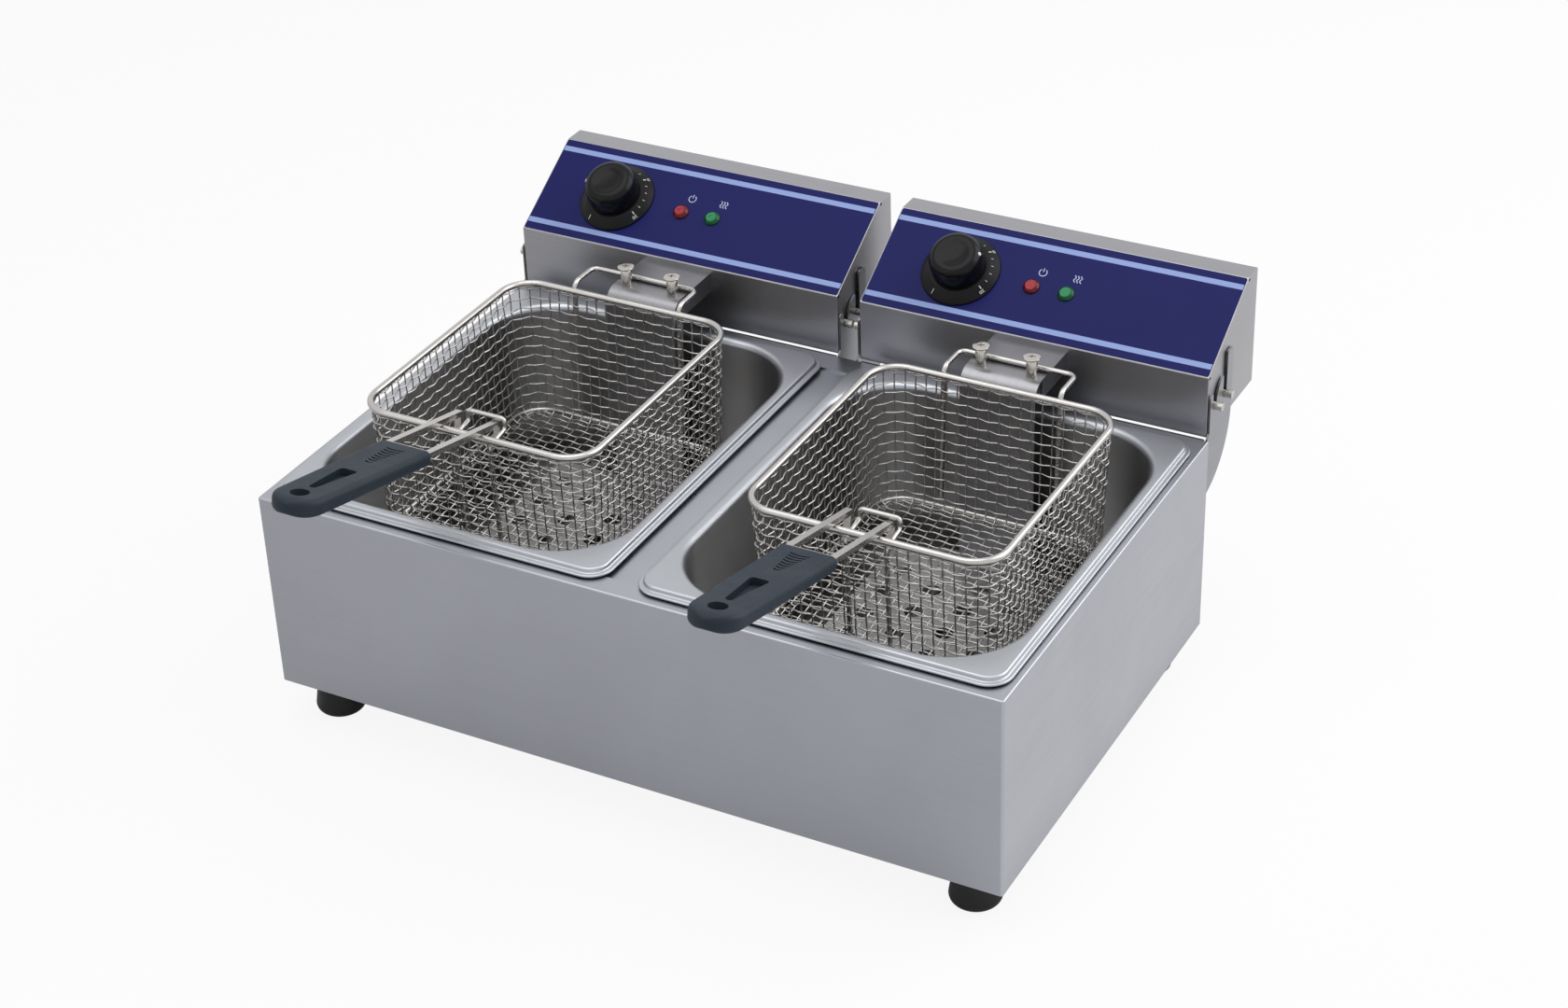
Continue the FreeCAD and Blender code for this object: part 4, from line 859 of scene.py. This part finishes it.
def make_fold_notches(side, end, face, way, corners):
    """Small dark relief notches where the folds meet the end plate, as shallow cups turned about X."""
    cup = [(0.0012, -0.0003), (0.0012, 0.00008), (0.0009, 0.00010), (0.0001, 0.00010)]
    folds = drawn_in(corners, 0.0017)[1:3]
    points, quads = join_arrays([lathe(cup, (face, y, z), (way, 0, 0), 20) for y, z in folds])
    dark = grained("fold_shadow", (0.006, 0.006, 0.007), rough=0.8, specular=0.1)
    piece = make_piece("%s_fold_notches_%s" % (side, end), points, quads, dark)
    recalculate_outside(piece)
    finish_piece(piece, side + "_head")


def make_posts(side):
    """Sleeves and flat-topped screws with a cross recess: turned profiles, then two crossed slots cut in."""
    low, high = node_box(side + "_hook_posts")
    middle = (low + high) / 2
    hood_top = node_box(side + "_element_hood")[1][2]
    top = high[2]
    metal = screw_steel()
    sleeve = [(0.0040, 0.0001), (0.0040, 0.0113), (0.0037, 0.0117)]
    rise = top - hood_top
    head = [(0.0036, -0.0030), (0.0040, -0.0029), (0.0052, -0.0018), (0.0061, -0.0011), (0.0062, -0.0007),
            (0.0060, -0.0003), (0.0053, -0.0001), (0.0030, 0.0), (0.0001, 0.0)]
    profile = np.concatenate([sleeve, np.array(head) + (0.0, rise)])
    reach = (high[0] - low[0]) / 2 - 0.0062
    half_l, half_w, deep, above = 0.0026, 0.0005, 0.0013, 0.002
    cross = np.array([[-half_l, -half_w], [half_l, -half_w], [half_l, half_w], [-half_l, half_w]])
    for end, x in (("left", middle[0] - reach), ("right", middle[0] + reach)):
        centre = np.array([x, middle[1], hood_top])
        piece = make_turned("%s_%s_post" % (side, end), profile, centre, (0, 0, 1), 48, metal)
        slots = []
        for turn in (20.0, 110.0):
            c, s = math.cos(math.radians(turn)), math.sin(math.radians(turn))
            box = stacked(cross @ np.array([[c, s], [-s, c]]), (top - deep, top + above), "Z")
            slots.append(make_rings("slot_cut", box + np.array([x, middle[1], 0.0]), metal))
        cut_away(piece, slots)
        shade_by_angle(piece)
        nodes = [side + "_hook_posts"] if end == "left" else ()
        finish_piece(piece, side + "_head", nodes)


def shade_by_angle(piece, angle=40.0):
    """Smooth shading that keeps edges sharper than an angle."""
    piece.data.shade_smooth()
    piece.data.set_sharp_from_angle(angle=math.radians(angle))


def label_print():
    """Navy film with a pale stripe near each long edge; U runs across the label and V up the slope."""
    if "label_print" in FINISHES:
        return FINISHES["label_print"]
    material, tree, shader = new_material("label_print")
    across, up = (axis_of(tree, "ShaderNodeUVMap", "UV", axis, uv_map="UVMap") for axis in "XY")
    half, low, high = 0.026, 0.098, 0.905
    stripes = maths(tree, "MAXIMUM", *(maths(tree, "COMPARE", up, middle, half) for middle in (low, high)))
    stripes = maths(tree, "MULTIPLY", stripes, maths(tree, "COMPARE", across, 0.5, 0.4985))
    values = {"Stretch": (500.0, 500.0, 500.0), "Streak": 0.10, "Smear": 0.12,
              "Colour": (*colours().label, 1), "Roughness": 0.42}
    grain = add_node(tree, "ShaderNodeGroup", values, node_tree=brushing_group()).outputs
    ink = mixed(tree, stripes, grain["Colour"], (*colours().stripe, 1))
    feed(tree, shader, {"Base Color": ink, "Roughness": grain["Roughness"], "Specular IOR Level": 0.10})
    return material


def make_label(side):
    """Thin film on the slope: a round-cornered plate with its own U and V."""
    low, high = node_box(side + "_control_label")
    foot = slope_foot(side)
    margin, corner, seat = 0.0008, 0.0015, 0.00002
    half_w, half_l = (high[0] - low[0]) / 2, SLOPE_LENGTH / 2 - margin
    loop = rounded_loops([half_w], [half_l], [corner], 4)[0]
    flat = foot + loop[:, :1] * ACROSS + (loop[:, 1:] + SLOPE_LENGTH / 2) * UP_SLOPE
    points = flat[None] + np.array([seat, FILM])[:, None, None] * OFF_SLOPE
    uv = np.broadcast_to(loop / (2 * np.array([half_w, half_l])) + 0.5, (2, *loop.shape))
    piece = make_rings(side + "_label_film", points, label_print(), smooth=False, uv=uv)
    finish_piece(piece, side + "_head", [side + "_control_label"])


def ribbon(line, width):
    """Flat strip of a width along a line of (x, y) points: two rows set off along the line's normal."""
    run = unit(np.gradient(line, axis=0))
    off = np.stack([-run[:, 1], run[:, 0]], axis=-1) * width / 2
    return np.stack([line - off, line + off]), grid_faces(2, len(line))


def make_signs(side):
    """Plain signs above the lamps: a ring with a gap and a bar for power, three waves for heat."""
    foot = slope_foot(side)
    wave = np.linspace(-1, 1, 25)
    swing = 0.0006 * np.sin(wave * math.pi * 1.5)
    waves = [np.stack([0.0023 * k + swing, 0.0030 * wave], -1) for k in (-1, 0, 1)]
    bar = np.array([[0.0, 0.0003], [0.0, 0.0018], [0.0, 0.0034]])
    power = [arc((0.0, -0.0003), 0.0029, 125, 415, 40), bar]
    for lines, node in ((power, "power_lamp"), (waves, "heat_lamp")):
        low, high = node_box("%s_%s" % (side, node))
        x = (low[0] + high[0]) / 2 - foot[0] + SIGN_SHIFT
        strips = [ribbon(line, SIGN_STROKE) for line in lines]
        strips = [(np.concatenate([p, np.zeros((*p.shape[:2], 1))], -1), q) for p, q in strips]
        flat, quads = join_arrays(strips)
        points = foot + (flat[:, :1] + x) * ACROSS + (flat[:, 1:2] + SIGN_UP) * UP_SLOPE
        points = points + OFF_SLOPE * SIGN_OFF
        piece = make_piece("%s_%s_sign" % (side, node), points, quads[:, ::-1], pale_print(), smooth=False)
        finish_piece(piece, side + "_head")


def dial_centre(side):
    """Foot of the knob's axis on the label."""
    place = np.array(joint_of(side + "_knob_turn")["pos_m"])
    return place + OFF_SLOPE * FILM


DIAL_SLOPE = np.array([[0.0228, 0.0064], [0.0286, 0.0022]])
NUMBER_RADIUS = 0.0271


def make_dial(side):
    """Fixed cone with a rounded edge; marks and plain numbers lie on its slope."""
    black = grained("dial_plastic", colours().black, 0.36, 700.0, bump=0.05, vary=0.12, specular=0.14)
    centre = dial_centre(side)
    profile = np.concatenate([[[0.0042, 0.0003], [0.0280, 0.0]],
                              arc((0.0284, 0.0010), 0.0010, -70, 55, 7), DIAL_SLOPE[::-1],
                              arc((0.0215, 0.0052), 0.0017, 50, 90, 4), [[0.0042, 0.0069]]])
    points, quads = lathe(profile, centre, OFF_SLOPE, 96)
    piece = make_piece(side + "_dial_cone", points, quads, black)
    shade_by_angle(piece, 50)
    finish_piece(piece, side + "_head", [side + "_dial_bezel"])
    make_dial_marks(side, centre)
    make_dial_numbers(side, centre)


def cone_height(r):
    """Height of the dial's slope at a radius, with the thickness of the print."""
    return np.interp(r, *DIAL_SLOPE.T) + 0.0001


def make_dial_numbers(side, centre):
    """Plain numbers at both ends of the scale, bent onto the cone: x runs round it and y out along it."""
    for clock, text in ((45.0, "60"), (122.0, "200")):
        curve = bpy.data.curves.new("dial_number", "FONT")
        curve.body = text
        curve.size = 0.0027
        curve.align_x = "CENTER"
        curve.align_y = "CENTER"
        writing = bpy.data.objects.new("dial_number", curve)
        bpy.context.scene.collection.objects.link(writing)
        graph = bpy.context.evaluated_depsgraph_get()
        mesh = bpy.data.meshes.new_from_object(writing.evaluated_get(graph))
        flat = np.empty(len(mesh.vertices) * 3)
        mesh.vertices.foreach_get("co", flat)
        flat = flat.reshape(-1, 3)
        r = NUMBER_RADIUS + flat[:, 1]
        a = math.radians(clock) + flat[:, 0] / NUMBER_RADIUS
        ray = np.sin(a)[:, None] * ACROSS + np.cos(a)[:, None] * UP_SLOPE
        bent = centre + ray * r[:, None] + OFF_SLOPE * cone_height(r)[:, None]
        mesh.vertices.foreach_set("co", bent.ravel())
        mesh.update()
        mesh.materials.append(white_print())
        bpy.data.objects.remove(writing)
        bpy.data.curves.remove(curve)
        piece = bpy.data.objects.new("%s_dial_number_%s" % (side, text), mesh)
        bpy.context.scene.collection.objects.link(piece)
        finish_piece(piece, side + "_head")


def make_dial_marks(side, centre):
    """Short white bars along the cone, from one to four o'clock, and one long bar at seven."""
    clock = np.array([28.0, 45.0, 60.0, 75.0, 90.0, 105.0, 120.0, 208.0])
    inner = np.array([0.0236, 0.0236, 0.0238, 0.0238, 0.0238, 0.0238, 0.0236, 0.0242])
    outer = np.array([0.0250, 0.0256, 0.0252, 0.0252, 0.0252, 0.0252, 0.0256, 0.0274])
    width = np.array([0.4, 0.8, 0.4, 0.4, 0.4, 0.4, 0.8, 0.6]) * 0.001
    a = np.radians(clock)
    ray = np.sin(a)[:, None] * ACROSS + np.cos(a)[:, None] * UP_SLOPE
    side_way = np.cos(a)[:, None] * ACROSS - np.sin(a)[:, None] * UP_SLOPE
    corners = [(inner, -1), (outer, -1), (outer, 1), (inner, 1)]
    points = np.stack([centre + ray * r[:, None] + side_way * (w * width / 2)[:, None]
                       + OFF_SLOPE * cone_height(r)[:, None] for r, w in corners], axis=1)
    quads = np.arange(len(clock) * 4).reshape(-1, 4)[:, ::-1]
    piece = make_piece(side + "_dial_marks", points, quads, white_print(), smooth=False)
    finish_piece(piece, side + "_head")


def make_knob(side):
    """Cap with a round shoulder and a dished middle, turned about the slope's normal, and its white dot."""
    black = grained("knob_plastic", colours().black, 0.22, 500.0, bump=0.02, vary=0.10, specular=0.16)
    centre = dial_centre(side)
    base = 0.0073
    skirt = [[0.0010, 0.0002], [0.0190, 0.0], [0.0200, 0.0004], [0.0196, 0.0100]]
    dish = [[0.0118, 0.01775], [0.0100, 0.0172], [0.0070, 0.0166], [0.0040, 0.0164], [0.0002, 0.0163]]
    profile = np.concatenate([skirt, arc((0.0128, 0.0112), 0.0066, 0, 85, 12), dish]) + (0.0, base)
    piece = make_turned(side + "_knob_cap", profile, centre, OFF_SLOPE, 96, black)
    shade_by_angle(piece, 60)
    finish_piece(piece, side + "_knob", [side + "_knob"])
    clock = math.radians({"left": 262.0, "right": 75.0}[side])
    ray = math.sin(clock) * ACROSS + math.cos(clock) * UP_SLOPE
    dot_out, dot_rise = 0.0186, 0.0144
    spot = centre + ray * dot_out + OFF_SLOPE * (base + dot_rise)
    facing = ray * 0.75 + OFF_SLOPE * 0.66
    button = [(0.0014, -0.0006), (0.0014, 0.0001), (0.0010, 0.0003), (0.0001, 0.00035)]
    dot = make_turned(side + "_knob_dot", button, spot, facing, 20, white_print())
    finish_piece(dot, side + "_knob")


def make_lamps(side):
    """The power lamp and the heat lamp of a head."""
    make_lamp(side, "power_lamp", "red_lens", colours().power)
    make_lamp(side, "heat_lamp", "green_lens", colours().heat)


def make_lamp(side, node, finish, tint):
    """Lens of two shapes turned about the slope's normal: a deep sloped ring and a brighter disc on it."""
    low, high = node_box("%s_%s" % (side, node))
    foot = slope_foot(side)
    centre = np.array([(low[0] + high[0]) / 2, *foot[1:]]) + UP_SLOPE * LAMP_UP + OFF_SLOPE * FILM
    ring = [(0.0048, -0.0120), (0.0049, 0.0), (0.0062, 0.0), (0.0062, 0.0007), (0.0058, 0.0014),
            (0.0046, 0.0026), (0.0043, 0.0028), (0.0040, 0.0026), (0.0002, 0.0026)]
    disc = [(0.0002, 0.0023), (0.0040, 0.0023), (0.0042, 0.0027), (0.0040, 0.0031), (0.0036, 0.0030),
            (0.0018, 0.0031), (0.0002, 0.0032)]
    deep = lens(finish + "_ring", tuple(0.28 * v for v in tint))
    for name, profile, glass in (("lens", ring, deep), ("disc", disc, lens(finish, tint))):
        piece = make_turned("%s_%s_%s" % (side, node, name), profile, centre, OFF_SLOPE, 48, glass)
        shade_by_angle(piece, 35)
        finish_piece(piece, side + "_head", ["%s_%s" % (side, node)] if name == "lens" else ())


class FRYER_OT_grips(PieceOperator, bpy.types.Operator):
    """Moulded grips with a hanging hole, a key slot and finger ribs"""

    bl_idname = "fryer.grips"
    bl_label = "Grips"

    def makers(self):
        return (make_grip,)


TILT = math.radians(13.5)
OUT_GRIP = np.array([0.0, -math.cos(TILT), math.sin(TILT)])
UP_GRIP = np.array([0.0, math.sin(TILT), math.cos(TILT)])


def grip_material():
    """Blue-black moulding with a fine grain."""
    return grained("grip_plastic", colours().grip, rough=0.55, scale=800.0, bump=0.10, specular=0.25)


def grip_foot(side):
    """Front rim wire under the handle, where the handle's own axes start."""
    low, high = node_box(side + "_basket_rim")
    rim = (high[2] - low[2]) / 2
    rods_low, rods_high = node_box(side + "_handle_rods")
    return np.array([(rods_low[0] + rods_high[0]) / 2, low[1] + rim, low[2] + rim])


GRIP_START = 0.064
GRIP_LENGTH = 0.1355
GRIP_TOP = 0.0087


def make_grip(side):
    """Lofted body: round-cornered rectangles along the handle with a level top, then cut."""
    foot = grip_foot(side)
    t = np.concatenate([np.linspace(0, 0.03, 7)[:-1], np.linspace(0.03, 0.84, 30),
                        0.84 + 0.16 * np.sin(np.linspace(0, math.pi / 2, 24)[1:])])
    d = t * GRIP_LENGTH
    nose, entry, entry_r = 0.018, 0.0030, 0.0026
    end = np.clip((d - (GRIP_LENGTH - nose)) / nose, 0, 1)
    lead = np.clip(1 - d / entry, 0, 1)
    round_lead = entry_r * (1 - np.sqrt(1 - lead ** 2))
    width = (0.0203 - 0.0023 * t) * np.sqrt(np.clip(1 - end ** 2.1, 0.0004, 1)) - round_lead
    half = 0.0054 + 0.0007 * t
    thick = (half - round_lead) * np.sqrt(np.clip(1 - (end ** 5) * 0.8, 0, 1))
    corner = np.minimum(0.0042, 0.9 * np.minimum(width, thick))
    count = 12
    turn = (np.arange(4)[:, None] * math.pi / 2 + np.linspace(0, math.pi / 2, count)).ravel()
    right = np.repeat([1, -1, -1, 1], count)
    above = np.repeat([1, 1, -1, -1], count)
    x = right * (width - corner)[:, None] + corner[:, None] * np.cos(turn)
    z = above * (thick - corner)[:, None] + corner[:, None] * np.sin(turn) + (GRIP_TOP - half)[:, None]
    along = GRIP_START + d
    points = foot + x[..., None] * ACROSS + along[:, None, None] * OUT_GRIP + z[..., None] * UP_GRIP
    piece = make_rings(side + "_grip_body", points, grip_material(), -1)
    cut_grip(piece, foot)
    shade_by_angle(piece, 38)
    finish_piece(piece, side + "_handle", [side + "_handle_grip"])


def cutter(name, outline, foot, low, high):
    """Straight-sided prism on a (across, along) outline, in the handle's own axes."""
    z = np.array([low, high])
    flat = foot + outline[:, :1] * ACROSS + outline[:, 1:] * OUT_GRIP
    return make_rings(name, flat[None] + z[:, None, None] * UP_GRIP, grip_material())


def cut_grip(piece, foot):
    """Cut the hanging hole, the tapered key slot and the bowed finger ribs out of the grip."""
    tip = GRIP_START + GRIP_LENGTH
    hole = arc((0.0, tip - 0.0165), 0.0064, 0, 352, 40)
    near_end, far_end = tip - 0.068, tip - 0.031
    key = np.concatenate([arc((-0.0034, near_end), 0.0030, 180, 270, 8),
                          arc((0.0034, near_end), 0.0030, 270, 360, 8),
                          arc((0.0, far_end), 0.0027, 0, 180, 12)])
    cutters = [cutter("hang_cut", hole, foot, -0.03, 0.04),
               cutter("key_cut", key, foot, GRIP_TOP - 0.005, 0.04)]
    bow = np.linspace(-1, 1, 13)
    first, pitch, wide, deep, rise = 0.0125, 0.0043, 0.0016, 0.0014, 0.0017
    for i in range(8):
        d = GRIP_START + first + pitch * i
        near = np.stack([bow * (0.0069 - 0.0006 * i), d + rise * (1 - bow ** 2)], axis=-1)
        far = near[::-1] + (0.0, wide)
        cutters.append(cutter("rib_cut_%d" % i, np.concatenate([near, far]), foot, GRIP_TOP - deep, 0.04))
    cut_away(piece, cutters)


def cut_away(piece, cutters):
    """Cut closed shapes out of a closed piece, apply the cuts and remove the cutters."""
    for tool in cutters:
        recalculate_outside(tool)
    recalculate_outside(piece)
    for tool in cutters:
        cut = piece.modifiers.new(tool.name, "BOOLEAN")
        cut.operation = "DIFFERENCE"
        cut.solver = "EXACT"
        cut.object = tool
    shaped = bpy.data.meshes.new_from_object(piece.evaluated_get(bpy.context.evaluated_depsgraph_get()))
    piece.modifiers.clear()
    old = piece.data
    piece.data = shaped
    bpy.data.meshes.remove(old)
    for tool in cutters:
        bpy.data.objects.remove(tool)


def recalculate_outside(piece):
    """Turn every face of a closed mesh outwards."""
    shell = bmesh.new()
    shell.from_mesh(piece.data)
    bmesh.ops.recalc_face_normals(shell, faces=shell.faces)
    shell.to_mesh(piece.data)
    shell.free()


PIECES = (FRYER_OT_stage, FRYER_OT_finishes, FRYER_OT_tanks, FRYER_OT_baskets, FRYER_OT_heads, FRYER_OT_grips)


class FRYER_PT_panel(bpy.types.Panel):
    """Buttons of the fryer's pieces"""

    bl_idname = "FRYER_PT_panel"
    bl_label = "Fryer"
    bl_space_type = "VIEW_3D"
    bl_region_type = "UI"
    bl_category = "Fryer"

    def draw(self, context):
        for piece in PIECES:
            self.layout.operator(piece.bl_idname)
        for group in (context.scene.fryer_sizes, context.scene.fryer_colours):
            for key in group.__annotations__:
                self.layout.prop(group, key)


CLASSES = (FryerSizes, FryerColours, *PIECES, FRYER_PT_panel)


def register():
    """Register the classes and hang the settings on the scene."""
    for cls in CLASSES:
        bpy.utils.register_class(cls)
    bpy.types.Scene.fryer_sizes = bpy.props.PointerProperty(type=FryerSizes)
    bpy.types.Scene.fryer_colours = bpy.props.PointerProperty(type=FryerColours)


def unregister():
    """Take the settings and the classes away again."""
    del bpy.types.Scene.fryer_colours
    del bpy.types.Scene.fryer_sizes
    for cls in reversed(CLASSES):
        bpy.utils.unregister_class(cls)


def main():
    """Make every piece in order."""
    register()
    bpy.ops.fryer.stage()
    bpy.ops.fryer.finishes()
    bpy.ops.fryer.tanks()
    bpy.ops.fryer.baskets()
    bpy.ops.fryer.heads()
    bpy.ops.fryer.grips()


if __name__ == "__main__":
    main()
